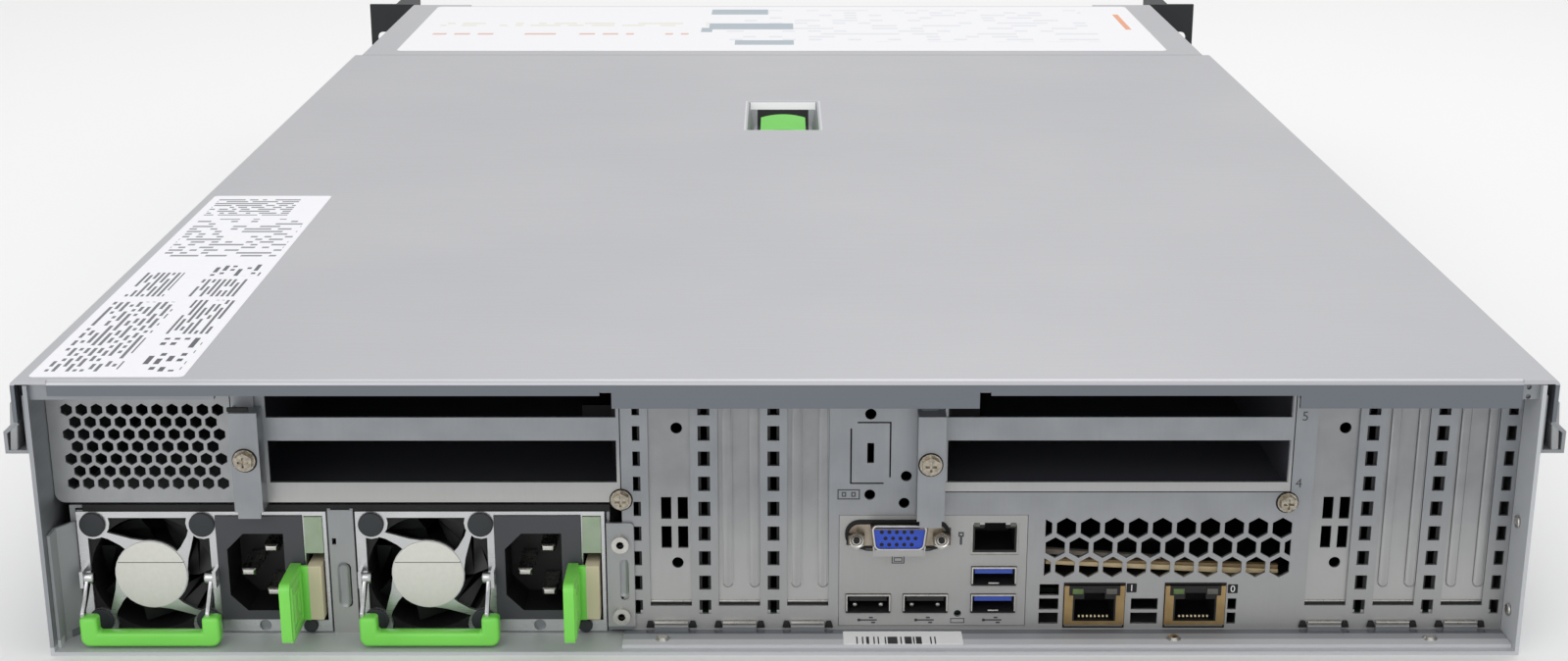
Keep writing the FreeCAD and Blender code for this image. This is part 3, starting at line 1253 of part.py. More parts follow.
def drive_cage():
    """Drive cage: shelf, bay dividers, and a vented fascia over the bays."""
    half = WALL_IN - 0.2
    shelf = box(-half, half, CAGE_Y, CAGE_FRONT, BAY_TOP, BAY_TOP + 1.0)
    walls = []
    for i in range(1, BAYS):
        x = bay_x(i) - BAY_PITCH / 2.0
        walls.append(box(x - 0.4, x + 0.4, CAGE_Y, CAGE_FRONT, SHEET + 0.1, BAY_TOP + 0.5))
    y = CAGE_FRONT
    holes = []
    rows = 2
    columns = 22
    cell = (2 * half - 16.0) / columns
    row_h = (WALL_TOP - SHEET - 2.0 - BAY_TOP - 6.0) / rows
    for row in range(rows):
        for column in range(columns):
            x = -half + 8.0 + cell * column
            z = BAY_TOP + 4.0 + row_h * row
            holes.append(rect(x + 1.5, x + cell - 1.5, z + 1.2, z + row_h - 1.2, y))
    fascia = plate(rect(-half, half, BAY_TOP, WALL_TOP - SHEET - 0.4, y), holes, 1.2)
    cheeks = [box(-half, -half + 1.0, CAGE_Y, CAGE_FRONT + 0.5, BAY_TOP, WALL_TOP - SHEET - 0.4),
              box(half - 1.0, half, CAGE_Y, CAGE_FRONT + 0.5, BAY_TOP, WALL_TOP - SHEET - 0.4)]
    return fuse([shelf, fascia] + walls + cheeks)


def backplane():
    """Drive backplane with one socket per bay."""
    half = WALL_IN - 1.4
    board = box(-half, half, CAGE_Y - 6.0, CAGE_Y - 4.0, SHEET + 0.1, BAY_TOP + 20.0)
    sockets = []
    for i in range(BAYS):
        x = bay_x(i)
        sockets.append(box(x - 20, x + 20, CAGE_Y - 4.2, CAGE_Y + SOCKET_OUT, CARRIER_Z + 6.0, CARRIER_Z + 12.0))
    return fuse([board] + sockets)


def carrier(i):
    """Drive carrier: vented bezel, side rails and floor, with its drive."""
    x = bay_x(i)
    half = CARRIER_W / 2.0
    y0 = BACKPLANE_Y + 0.4
    y1 = BEZEL_Y
    z0, z1 = CARRIER_Z, CARRIER_Z + CARRIER_H
    bezel = box(x - half, x + half, y1, BAY_FRONT, z0, z1)
    pocket = box(x - half + 6.0, x + half - 2.0, BAY_FRONT - 7.0, BAY_FRONT + 1, z0 + 3.0, z0 + 15.0)
    vents = []
    for k in range(11):
        at = x - half + 7.0 + 8.4 * k
        vents.append(box(at, at + 6.0, y1 + 3.0, BAY_FRONT + 1, z0 + 17.5, z1 - 2.0))
    hinge = cyl(x - half + 9.0, BAY_FRONT - 3.4, z0 + 1.0, 1.05, 16.0, V(0, 0, 1))
    bezel = cut(bezel, [pocket, hinge] + vents)
    rails = [box(x - half, x - half + 0.9, y0, y1 + 0.5, z0, z1 - 2.0),
             box(x + half - 0.9, x + half, y0, y1 + 0.5, z0, z1 - 2.0),
             box(x - half, x + half, y0 + 6.0, y1 + 0.5, z0, z0 + 0.9)]
    tray = fuse([bezel] + rails)
    wide = DRIVE_W / 2.0
    drive_y = y1 - 0.1 - DRIVE_L
    drive = box(x - wide, x + wide, drive_y, y1 - 0.1, z0 + 1.0, z0 + 1.0 + DRIVE_H)
    return group([tray, drive])


def carrier_lever(i):
    """Release lever that folds flush into the bezel's pocket."""
    x = bay_x(i)
    half = CARRIER_W / 2.0
    z0 = CARRIER_Z
    hinge_x = x - half + 9.0
    hinge_y = BAY_FRONT - 3.4
    end = x + half - 3.4
    bar = [(hinge_x - 1.9, hinge_y - 1.9), (end, hinge_y - 1.9), (end, BAY_FRONT - 0.2),
           (end - 20.0, BAY_FRONT - 1.2), (hinge_x - 0.4, BAY_FRONT - 0.2), (hinge_x - 1.9, hinge_y + 1.2)]
    body = prism_z(bar, z0 + 3.4, z0 + 14.6)
    pin = cyl(hinge_x, hinge_y, z0 + 1.2, 1.0, 15.6, V(0, 0, 1))
    hook = box(end - 6.0, end - 2.0, hinge_y - 3.2, hinge_y - 1.5, z0 + 7.0, z0 + 11.0)
    return fuse([body, pin, hook])


EAR_PLATE = 2.4
EAR_SLOT = 5.1          # half length of a rack slot


def ear(side):
    """Rack ear: slotted flange, wall tab and moulded housing."""
    x0, x1 = HALF, HALF + EAR_REACH
    low, high = 0.8, HEIGHT - 0.8
    centre = HOLE_X
    middle = HEIGHT / 2.0
    slots = []
    for z in (middle - RACK_UNIT / 2.0, middle + RACK_UNIT / 2.0):
        r = 3.4
        half = EAR_SLOT
        a, b = V(centre - half + r, LENGTH, z - r), V(centre + half - r, LENGTH, z - r)
        c, d = V(centre + half - r, LENGTH, z + r), V(centre - half + r, LENGTH, z + r)
        right = Part.Arc(b, V(centre + half, LENGTH, z), c).toShape()
        left = Part.Arc(d, V(centre - half, LENGTH, z), a).toShape()
        slots.append(Part.Wire([Part.makeLine(a, b), right, Part.makeLine(c, d), left]))
    flange = plate(rect(x0, x1, low, high, LENGTH), slots, EAR_PLATE)
    tab = box(x0, x0 + 2.0, LENGTH - 50.0, LENGTH + 0.5, 5.0, 56.0)
    wide = centre - EAR_SLOT - 1.2
    housing = prism_z([(x0 + 0.1, LENGTH + 1.0), (wide, LENGTH + 1.0), (wide, EAR_FRONT - 3.0),
                       (wide - 3.0, EAR_FRONT), (x0 + 0.1, EAR_FRONT)], low, high)
    body = fuse([flange, tab, housing])
    if side > 0:
        well = cyl_y(BUTTON_X, BUTTON_Z, BUTTON_R + 0.2, EAR_FRONT - 9.0, EAR_FRONT + 1)
        return cut(body, [well])
    return mirror_x(body)


BUTTON_R = 3.2
BUTTON_X = (HALF + HOLE_X - EAR_SLOT - 1.2) / 2.0
BUTTON_Z = 62.0
BUTTON_TRAVEL = 1.5


def power_button():
    """Round push button in the right ear, on a stepped plunger."""
    cap = cyl_y(BUTTON_X, BUTTON_Z, BUTTON_R, EAR_FRONT - 5.0, EAR_FRONT + 0.6)
    stem = cyl_y(BUTTON_X, BUTTON_Z, 1.6, EAR_FRONT - 8.9 + BUTTON_TRAVEL + 0.1, EAR_FRONT - 4.0)
    return fuse([cap, stem])


# ---- build ------------------------------------------------------------------------
def main():
    os.makedirs("parts", exist_ok=True)
    save("chassis_tray", chassis_tray())
    save("rear_crossbar", rear_crossbar())
    save("side_rails", side_rails())
    save("lid", lid())
    save("lid_latch", lid_latch())
    save("front_cover", front_cover())
    save("rear_panel", rear_panel())
    save("slot_blanks", slot_blanks())
    save("honeycomb_panel", honeycomb_panel())
    save("riser_brackets", riser_brackets())
    save("riser_cage_left", riser_cage_left())
    save("riser_cage_right", riser_cage_right())
    save("riser_boards", riser_boards())
    save("panel_screws", panel_screws())
    save("rivets", rivets())
    save("io_shield", io_shield())
    save("vga_shell", vga_shell())
    save("vga_insert", vga_insert())
    save("usb_shells", usb_shells())
    save("usb_tongues", usb_tongues())
    save("management_port", management_port())
    save("lan_ports", lan_ports())
    save("lan_board", lan_board())
    save("psu_bay", psu_bay())
    for number, cx in enumerate(PSU_X, start=1):
        prefix = "psu%d_" % number
        save(prefix + "case", psu_case(cx))
        save(prefix + "guard", psu_guard(cx))
        save(prefix + "rotor", psu_rotor(cx))
        save(prefix + "inlet", psu_inlet(cx))
        save(prefix + "light_pipe", psu_light_pipe(cx))
        save(prefix + "handle", psu_handle(cx))
        save(prefix + "latch", psu_latch(cx))
    save("system_board", system_board())
    save("heat_sinks", heat_sinks())
    save("memory_modules", memory_modules())
    save("air_shroud", air_shroud())
    save("fan_wall", fan_wall())
    for i in range(FAN_COUNT):
        save("fan_rotor_%d" % (i + 1), fan_rotor(i))
    save("drive_cage", drive_cage())
    save("backplane", backplane())
    for i in range(BAYS):
        save("carrier_%d" % (i + 1), carrier(i))
        save("carrier_lever_%d" % (i + 1), carrier_lever(i))
    save("ear_left", ear(-1))
    save("ear_right", ear(1))
    save("power_button", power_button())


main()
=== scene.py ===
# %% [markdown]
# # A 2U rack server, seen from behind
# The sheet-metal body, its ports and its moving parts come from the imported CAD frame.
# This lesson dresses that frame: it gives each solid the finish of the real material, and it
# adds the small pieces that CAD leaves out, such as rubber plugs, contacts and labels.
# Everything is in metres. +X is the right-hand side seen from behind, +Y runs to the front.

# %% Load the frame
import math
import bmesh
import bpy
from mathutils import Euler, Matrix, Vector


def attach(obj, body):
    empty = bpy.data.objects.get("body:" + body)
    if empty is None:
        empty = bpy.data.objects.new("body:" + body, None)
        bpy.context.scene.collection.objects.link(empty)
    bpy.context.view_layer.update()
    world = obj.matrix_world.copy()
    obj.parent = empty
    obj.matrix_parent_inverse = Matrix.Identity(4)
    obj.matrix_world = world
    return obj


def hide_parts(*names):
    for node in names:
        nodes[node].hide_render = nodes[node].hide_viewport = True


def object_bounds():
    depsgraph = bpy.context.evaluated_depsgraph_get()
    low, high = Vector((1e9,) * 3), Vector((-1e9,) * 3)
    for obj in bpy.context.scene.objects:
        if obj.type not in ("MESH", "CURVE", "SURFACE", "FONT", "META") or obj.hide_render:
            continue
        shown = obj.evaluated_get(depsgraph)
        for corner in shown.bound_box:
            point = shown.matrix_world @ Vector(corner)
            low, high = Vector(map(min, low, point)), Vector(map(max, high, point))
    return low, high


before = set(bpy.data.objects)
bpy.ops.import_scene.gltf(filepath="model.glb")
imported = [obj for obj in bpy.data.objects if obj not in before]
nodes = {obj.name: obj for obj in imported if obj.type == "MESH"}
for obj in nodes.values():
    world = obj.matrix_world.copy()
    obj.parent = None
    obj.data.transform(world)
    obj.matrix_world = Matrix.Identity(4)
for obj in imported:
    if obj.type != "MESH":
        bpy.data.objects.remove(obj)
cad_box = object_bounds()


# %% [markdown]
# ## Measures
# All the solids were drawn in millimetres from the rear edge of the tray. One helper turns such
# a place into the frame's metres, so that the numbers below read like a drawing.

# %% Millimetres from the rear edge
MM = 0.001
HALF_LENGTH = 347.5                 # rear edge to the frame's origin
FACE_Y = 13.5                       # outer face of the rear panel and of the supplies
LID_TOP = 85.0
PSU_X = (-171.8, -89.9)             # middles of the two power supplies
PSU_STEP = PSU_X[1] - PSU_X[0]
FAN_DX, FAN_Z = -15.9, 20.1         # a supply's fan, from its middle
INLET_DX, INLET_Z = 15.5, 20.9      # a supply's mains inlet, from its middle
LAN_X = (92.0, 122.0)
MANAGEMENT = (61.9, 31.2)           # management socket, as x and z
USB_PORTS = ((24.7, 10.6), (41.7, 10.6), (61.9, 19.4), (61.9, 10.6))
SLOT_PITCH = 20.32
BLANKS_X = (-13.6, 181.2)           # middle blank of each group of three
SCREWS = ((-155.9, 6.8, 58.6, 3.3), (42.0, 6.8, 57.2, 3.3),     # x, y, z and head radius
          (-48.15, FACE_Y, 43.8, 3.1), (147.4, FACE_Y, 42.9, 3.0))


def at(x, y, z):
    return Vector((x * MM, (y - HALF_LENGTH) * MM, z * MM))


print("supplies", PSU_STEP, "mm apart")


# %% [markdown]
# ## Camera
# The server is looked at from behind and a little above, with a normal lens, so the lid
# narrows strongly towards the front. A rack server is long, and this view shows it.

# %% Camera
LENS, SENSOR = 50.17, 36.0          # millimetres
STAND = (-0.001815, -0.93169, 0.28074)
YAW, PITCH, ROLL = 0.00239, 0.30043, 0.00045


def make_camera():
    data = bpy.data.cameras.new("camera")
    data.lens = LENS
    data.sensor_width = SENSOR
    data.clip_end = 20.0
    camera = bpy.data.objects.new("camera", data)
    bpy.context.collection.objects.link(camera)
    turn = Euler((math.pi / 2 - PITCH, 0.0, -YAW)).to_matrix() @ Matrix.Rotation(ROLL, 3, "Z")
    camera.matrix_world = Matrix.Translation(STAND) @ turn.to_4x4()
    bpy.context.scene.camera = camera
    print("camera", [round(v, 4) for v in camera.location])


make_camera()


# %% [markdown]
# ## Light
# A bright, even surround stands in for a white light tent. Zinc mirrors what is round it, so
# most of its look comes from the world's brightness. Two large soft lamps, one above and one
# behind the camera, add the gentle change from one side to the other and open up the ports.

# %% Studio
SURROUND = 0.78                     # strength of the white world


def make_world():
    world = bpy.data.worlds.new("studio")
    world.use_nodes = True
    back = world.node_tree.nodes["Background"]
    back.inputs["Color"].default_value = (1.0, 1.0, 1.0, 1.0)
    back.inputs["Strength"].default_value = SURROUND
    bpy.context.scene.world = world


def make_lamp(name, place, target, size, power):
    data = bpy.data.lights.new(name, "AREA")
    data.shape = "SQUARE"
    data.size = size
    data.energy = power
    lamp = bpy.data.objects.new(name, data)
    bpy.context.collection.objects.link(lamp)
    lamp.location = place
    aim = Vector(target) - Vector(place)
    lamp.rotation_euler = aim.to_track_quat("-Z", "Y").to_euler()
    print("lamp", name, power, "W")


make_world()
make_lamp("top_soft", (0.2, 0.3, 1.6), (0.0, 0.0, 0.0), 1.6, 9.0)
make_lamp("rear_soft", (-0.6, -1.6, 0.7), (0.0, -0.35, 0.04), 1.0, 4.0)
bpy.context.scene.view_settings.view_transform = "Standard"


# %% [markdown]
# ## Small makers for finishes
# One function turns sRGB hex colours into the linear numbers that Blender wants. One more adds a
# node with its settings and inputs, so each recipe below stays short. A finish starts from one
# shader, and its colour drifts in soft clouds, because no real surface is quite even.

# %% Colour and node helpers
def linear(hex_colour):
    """sRGB hex to a linear RGBA tuple."""
    parts = [int(hex_colour[i:i + 2], 16) / 255.0 for i in (1, 3, 5)]
    return tuple(p / 12.92 if p <= 0.04045 else ((p + 0.055) / 1.055) ** 2.4 for p in parts) + (1.0,)


def add(tree, kind, *inputs, **named):
    """Adds a node. Names in lower case are its settings; its inputs come by place or by a name
    with a capital, as values or as outputs to link."""
    node = tree.nodes.new("ShaderNode" + kind)
    sockets = list(enumerate(inputs))
    for key, value in named.items():
        if key.islower():
            setattr(node, key, value)
        else:
            sockets.append((key.replace("_", " "), value))
    for key, value in sockets:
        if isinstance(value, bpy.types.NodeSocket):
            tree.links.new(value, node.inputs[key])
        else:
            node.inputs[key].default_value = value
    return node.outputs


def start(name, colour, **sockets):
    """A material with one principled shader and Object coordinates."""
    material = bpy.data.materials.new(name)
    material.use_nodes = True
    tree = material.node_tree
    shader = tree.nodes["Principled BSDF"]
    shader.inputs["Base Color"].default_value = linear(colour)
    for key, value in sockets.items():
        shader.inputs[key.replace("_", " ")].default_value = value
    place = add(tree, "TexCoord")["Object"]
    return material, tree, shader, place


def tint(tree, shader, mask, low, high):
    """Mixes two hex colours by a 0 to 1 mask into the shader's colour."""
    mix = add(tree, "Mix", data_type="RGBA", Factor=mask, A=linear(low), B=linear(high))
    tree.links.new(mix[2], shader.inputs["Base Color"])


def clouded(name, colour, dark, rough, cloud_mm, detail, **sockets):
    """A material whose colour drifts between two hex colours, in clouds of a size in millimetres."""
    material, tree, shader, place = start(name, colour, Roughness=rough, **sockets)
    clouds = add(tree, "TexNoise", Vector=place, Scale=1.0 / (cloud_mm * MM), Detail=detail)["Fac"]
    tint(tree, shader, clouds, dark, colour)
    return material, tree, shader, place, clouds


def roughen(tree, shader, mask, low, high):
    """Roughness between two values by a mask."""
    span = add(tree, "MapRange", Value=mask, To_Min=low, To_Max=high)
    tree.links.new(span["Result"], shader.inputs["Roughness"])


def bump(tree, shader, height, strength, distance_mm):
    raised = add(tree, "Bump", Height=height, Strength=strength, Distance=distance_mm * MM)
    tree.links.new(raised["Normal"], shader.inputs["Normal"])


def wear(material, *nodes_named):
    """Gives one finish to several CAD nodes."""
    for node_name in nodes_named:
        for slot in nodes[node_name].material_slots:
            slot.material = material
    print(material.name, "on", len(nodes_named), "nodes")


# %% [markdown]
# ## A second colour inside a box
# One solid often shows two tones: a bright case whose fan well is painted black as shade, or a metal
# socket whose mouth is painted dark as shade. The solid's mesh stays one, so the change is made in
# its material: a mask is 1 inside some boxes, given in millimetres, and 0 elsewhere.

# %% Masks and overpainting
def inside(material, boxes):
    """1 inside any box (x0, x1, y0, y1, z0, z1) in millimetres from the rear edge, else 0."""
    tree = material.node_tree
    split = add(tree, "SeparateXYZ", tree.nodes["Texture Coordinate"].outputs["Object"])
    total = 0.0
    for x0, x1, y0, y1, z0, z1 in boxes:
        mask = 1.0
        for axis, low, high in (("X", x0, x1), ("Y", y0 - HALF_LENGTH, y1 - HALF_LENGTH), ("Z", z0, z1)):
            middle, half = (low + high) / 2 * MM, (high - low) / 2 * MM
            span = add(tree, "Math", split[axis], middle, half, operation="COMPARE")[0]
            mask = add(tree, "Math", span, mask, operation="MULTIPLY")[0]
        total = add(tree, "Math", mask, total, operation="MAXIMUM")[0]
    return total


def lay_colour(material, mask, colour):
    """Lays one more colour over a recipe where the mask is 1: print, and painted light and shade."""
    tree = material.node_tree
    paint = tree.nodes["Principled BSDF"].inputs["Base Color"]
    below = paint.links[0].from_socket
    mix = add(tree, "Mix", data_type="RGBA", Factor=mask, A=below, B=linear(colour))
    tree.links.new(mix[2], paint)


def paint_floor_light(material, colour, z_full, z_none):
    """Lays painted light over a recipe, more and more from one height to another, in millimetres."""
    tree = material.node_tree
    height = add(tree, "SeparateXYZ", tree.nodes["Texture Coordinate"].outputs["Object"])["Z"]
    ramp = add(tree, "MapRange", Value=height, From_Min=z_none * MM, From_Max=z_full * MM)
    lay_colour(material, ramp["Result"], colour)


def overpaint(material, boxes, colour, rough, metal=0.0):
    """Lays another colour, roughness and metalness over a recipe inside some boxes; most boxes below are
    painted light and shade.
    """
    tree = material.node_tree
    mask = inside(material, boxes)
    lay_colour(material, mask, colour)
    for key, value in (("Roughness", rough), ("Metallic", metal)):
        socket = tree.nodes["Principled BSDF"].inputs[key]
        below = socket.links[0].from_socket if socket.links else socket.default_value
        rest = add(tree, "Math", 1.0, mask, operation="SUBTRACT")[0]
        keep = add(tree, "Math", below, rest, operation="MULTIPLY")[0]
        new = add(tree, "Math", mask, value, operation="MULTIPLY")[0]
        tree.links.new(add(tree, "Math", keep, new, operation="ADD")[0], socket)


# %% [markdown]
# ## Galvanised sheet
# The tray, the rear panels and the cages are steel sheet, zinc-coated at the mill. The coat is
# pale grey and slightly blue, with soft clouds a few centimetres wide where it dried unevenly,
# and rolling lines finer than a tenth of a millimetre. The lines are drawn about 0.6 mm apart
# here, because finer ones would not show. The way they run is given by how the pattern is
# squeezed: upright on the panels, lengthwise on the tray and crosswise on the lid.

# %% Sheet finishes
UPRIGHT, LENGTHWISE = (1.0, 1.0, 0.06), (1.0, 0.05, 1.0)
CROSSWISE, COARSE = (0.03, 1.0, 1.0), (0.08, 1.0, 1.0)
DULL, PALE = "#84878B", "#9FA2A6"


def sheet_metal(name, dark, light, rough, cloud_mm, squeeze, metal=0.85, line_mm=0.6):
    material, tree, shader, place, _ = clouded(name, light, dark, rough, cloud_mm, 3.0, Metallic=metal)
    grain = add(tree, "Mapping", Vector=place, Scale=squeeze)["Vector"]
    lines = add(tree, "TexNoise", Vector=grain, Scale=1.0 / (line_mm * MM), Detail=2.0)["Fac"]
    roughen(tree, shader, lines, rough - 0.08, rough + 0.12)
    bump(tree, shader, lines, 0.12, 0.05)
    return material


galvanised = sheet_metal("galvanised_sheet", DULL, PALE, 0.42, 14.0, UPRIGHT, 0.75)
shield_sheet = sheet_metal("painted_shield_plate", "#A3A3A2", "#AEAEAD", 0.5, 30.0, UPRIGHT, 0.45)
vent_sheet = sheet_metal("galvanised_vent_sheet", "#8F9193", "#AAACAE", 0.4, 9.0, UPRIGHT, 0.6)
blank_sheet = sheet_metal("galvanised_blank_sheet", "#828486", "#9C9D9F", 0.38, 9.0, UPRIGHT)
cage_sheet = sheet_metal("galvanised_cage_sheet", DULL, PALE, 0.42, 14.0, UPRIGHT)
case_sheet = sheet_metal("supply_case_sheet", DULL, PALE, 0.42, 14.0, UPRIGHT)
rail_sheet = sheet_metal("rail_sheet", "#888B8E", "#9DA0A3", 0.5, 16.0, LENGTHWISE, 0.35)
tray_sheet = sheet_metal("galvanised_tray_sheet", "#8F9296", "#ABAEB2", 0.44, 45.0, LENGTHWISE)
lid_sheet = sheet_metal("smooth_zinc_lid_sheet", "#BCBDC1", "#CACACD", 0.46, 120.0, CROSSWISE, line_mm=0.8)
# painted highlight: the turned rim is paler and less mirror-like than the lid
rim_sheet = sheet_metal("zinc_turned_rim", "#CFD0D4", "#DCDDE0", 0.4, 40.0, CROSSWISE, 0.3, 0.8)
bright_sheet = sheet_metal("bright_zinc_plate", "#BFC0C2", "#DADBDC", 0.28, 14.0, COARSE, line_mm=0.5)

# %% [markdown]
# ## Light and shade on the sheet
# Sheet near the floor mirrors it and is paler; folds, wells and cages swallow light. Each of these
# is a box with its own colour and roughness, laid over the sheet's recipe.

# %% Shades of the sheet
WELL = 18.4                         # half width of the fan well, painted black as shade
COLUMNS_X = (-44.1, -23.8, -3.4, 171.0, 191.3, 211.3)       # vent columns between the blanks

# painted light: these sheets grow paler towards their foot, where the floor lights them
paint_floor_light(galvanised, "#B4B4B3", 4.0, 46.0)
paint_floor_light(blank_sheet, "#CACAC8", 2.0, 48.0)
paint_floor_light(cage_sheet, "#B6B6B4", 42.0, 62.0)
LIGHT_AND_SHADE = (
    (lid_sheet, (-220.0, 220.0, -1.0, 4.0, 60.0, 83.6), "#747980", 0.5, 0.75),      # rear hem, painted shade
    (lid_sheet, (-16.6, 16.6, 338.0, 402.0, 60.0, 84.5), "#9DA1A2", 0.6, 0.2),      # latch recess walls, painted shade
    (lid_sheet, (-11.6, 11.6, 374.0, 402.0, 60.0, 81.6), "#0C0E0F", 0.7, 0.0),      # painted shade under the pad
    (lid_sheet, (-14.8, 14.8, 396.0, 402.0, 81.7, 84.6), "#F6F6F7", 0.5, 0.0),      # painted highlight on the recess's far wall
    (tray_sheet, (-220.0, 220.0, -5.0, 16.0, -1.0, 2.6), "#C6C8CB", 0.5, 0.2),      # floor lip, painted light
    (tray_sheet, (211.0, 225.0, -5.0, 14.0, 2.6, 84.0), "#BFC2C5", 0.6, 0.15),      # right wall, painted light on its lit side
    (galvanised, (-225.0, 225.0, -5.0, 13.2, -1.0, 3.6), "#CDCED1", 0.55, 0.0),     # floor flange, painted light from the floor
    (galvanised, (-225.0, 225.0, 6.5, 10.2, -1.0, 3.6), "#A6A8AC", 0.55, 0.1),      # its shaded half
    (galvanised, (-225.0, 225.0, 10.2, 13.2, -1.0, 3.6), "#7A7D82", 0.55, 0.3),     # its foot, painted shade
    (galvanised, (-215.0, -198.0, -5.0, 16.0, 3.6, 43.0), "#9EA1A3", 0.6, 0.1),     # guide sheet
    (cage_sheet, (-220.0, 220.0, 15.2, 250.0, 3.0, 84.0), "#36373E", 0.7, 0.0))     # painted shade inside the cages
for sheet, box, colour, rough, metal in LIGHT_AND_SHADE:
    overpaint(sheet, [box], colour, rough, metal)
# painted shade: the blanks' flanges seen through the vent columns are painted near-black
overpaint(blank_sheet, [(x - 2.3, x + 2.3, 14.0, 20.0, 8.0, 84.0) for x in COLUMNS_X], "#1A1B1D", 0.6)
# painted shade: the fan well inside each supply's case is painted near-black
overpaint(case_sheet, [(x + FAN_DX - WELL, x + FAN_DX + WELL, 14.2, 46.0, 1.7, 39.5) for x in PSU_X],
          "#0A0A0B", 0.7)
wear(galvanised, "rear_panel", "riser_brackets", "psu_bay", "rear_crossbar")
wear(shield_sheet, "io_shield")
wear(vent_sheet, "honeycomb_panel")
wear(blank_sheet, "slot_blanks")
wear(cage_sheet, "riser_cage_left", "riser_cage_right")
wear(rail_sheet, "side_rails")
wear(case_sheet, "psu1_case", "psu2_case")
wear(tray_sheet, "chassis_tray")
wear(lid_sheet, "lid", "front_cover")
wear(bright_sheet, "psu1_guard", "psu2_guard")


# %% [markdown]
# ## Plated fasteners and port shells
# Screws, rivets and the display port's flange are nickel plated: brighter and warmer than zinc.
# The network shells are tin-plated brass that has gone slightly brown, and the contact springs
# have a thin flash of gold. All of them share one recipe: full metal with small dark clouds.

# %% Plated metals
def plated(name, colour, dark, rough, cloud_mm, metal=1.0):
    material, tree, shader, _, clouds = clouded(name, colour, dark, rough, cloud_mm, 4.0, Metallic=metal)
    roughen(tree, shader, clouds, rough - 0.06, rough + 0.1)
    return material


nickel = plated("nickel_plate", "#E0DEDA", "#B4B1AA", 0.26, 2.5)
screw_nickel = plated("nickel_plated_screw", "#D8CFBF", "#3A342B", 0.2, 1.1)
flange_nickel = plated("aged_nickel_flange", "#8F877B", "#4C453C", 0.3, 3.0)
aged_nickel = plated("aged_nickel_plate", "#C9BDAE", "#6B6154", 0.3, 3.0)
strap_steel = plated("bright_strap_steel", "#DCDCDC", "#9C9DA0", 0.2, 3.0)
usb_steel = plated("tin_plated_usb_steel", "#E2E0DC", "#BDBBB6", 0.28, 2.0)
jack_steel = plated("tin_plated_jack_steel", "#C9C8C4", "#97958F", 0.3, 3.0)
tin_brass = plated("tin_plated_brass", "#C4A878", "#957C56", 0.34, 4.0)
gold = plated("gold_flashed_contact", "#F8E7BB", "#F0DFB7", 0.3, 2.0, 0.2)
fin_metal = plated("extruded_aluminium_fins", "#C9CBCD", "#A9ABAE", 0.38, 12.0)

# %% [markdown]
# ## Painted shade in the sockets
# A socket is a bright shell round a mouth in shade. The shade is painted dark in a box a little
# smaller than the shell. The foot of the display socket's flange takes the colour of the shield round it.

# %% Painted shade in socket mouths
def shaded_mouths(points, half, low, high, y0, y1):
    """Boxes round some (x, z) points: half wide, and from low to high beside each point's z."""
    return [(x - half, x + half, y0, y1, z + low, z + high) for x, z in points]


lan_floor = [(x, 0.0) for x in LAN_X]           # the network sockets' heights are given from the floor
overpaint(flange_nickel, [(0.0, 60.0, 0.0, 30.0, 26.0, 30.5)], "#B2B2B1", 0.6)
# painted shade: the mouths of the ports and sockets are near-black, and the port shells darker at their floor
overpaint(usb_steel, shaded_mouths(USB_PORTS, 6.0, -2.4, 2.4, 12.9, 40.0), "#0B0B0C", 0.6)
overpaint(usb_steel, shaded_mouths(USB_PORTS, 6.7, -3.1, -2.3, 0.0, 40.0), "#1C1C1D", 0.6)
lan_mouth = shaded_mouths(lan_floor, 6.4, 5.1, 13.4, 12.0, 32.0)
lan_mouth += shaded_mouths(lan_floor, 7.6, 13.3, 16.6, 12.0, 32.0)
overpaint(tin_brass, lan_mouth, "#0E0E0F", 0.5)
overpaint(jack_steel, shaded_mouths([MANAGEMENT], 6.5, -4.4, 4.4, 13.0, 33.0), "#0C0C0D", 0.5)
wear(nickel, "rivets")
wear(flange_nickel, "vga_shell")
wear(usb_steel, "usb_shells")
wear(screw_nickel, "panel_screws")
wear(tin_brass, "lan_ports")
wear(jack_steel, "management_port")
wear(fin_metal, "heat_sinks")


# %% [markdown]
# ## Moulded plastics
# Touch points are bright green ABS, injection moulded with a light gloss, so a technician finds
# them at once. Inlets and fans are darker glass-filled nylon, which is duller because of the
# fibres at its skin. Moulded skins have a fine spark texture, drawn here 0.35 mm across.

# %% Plastics
def moulded(name, colour, dark, rough, grain_mm, depth_mm=0.06, cloud_mm=18.0, **sockets):
    material, tree, shader, place, _ = clouded(name, colour, dark, rough, cloud_mm, 2.0, **sockets)
    grain = add(tree, "TexNoise", Vector=place, Scale=1.0 / (grain_mm * MM), Detail=1.0)["Fac"]
    roughen(tree, shader, grain, rough - 0.05, rough + 0.08)
    bump(tree, shader, grain, 0.25, depth_mm)
    return material


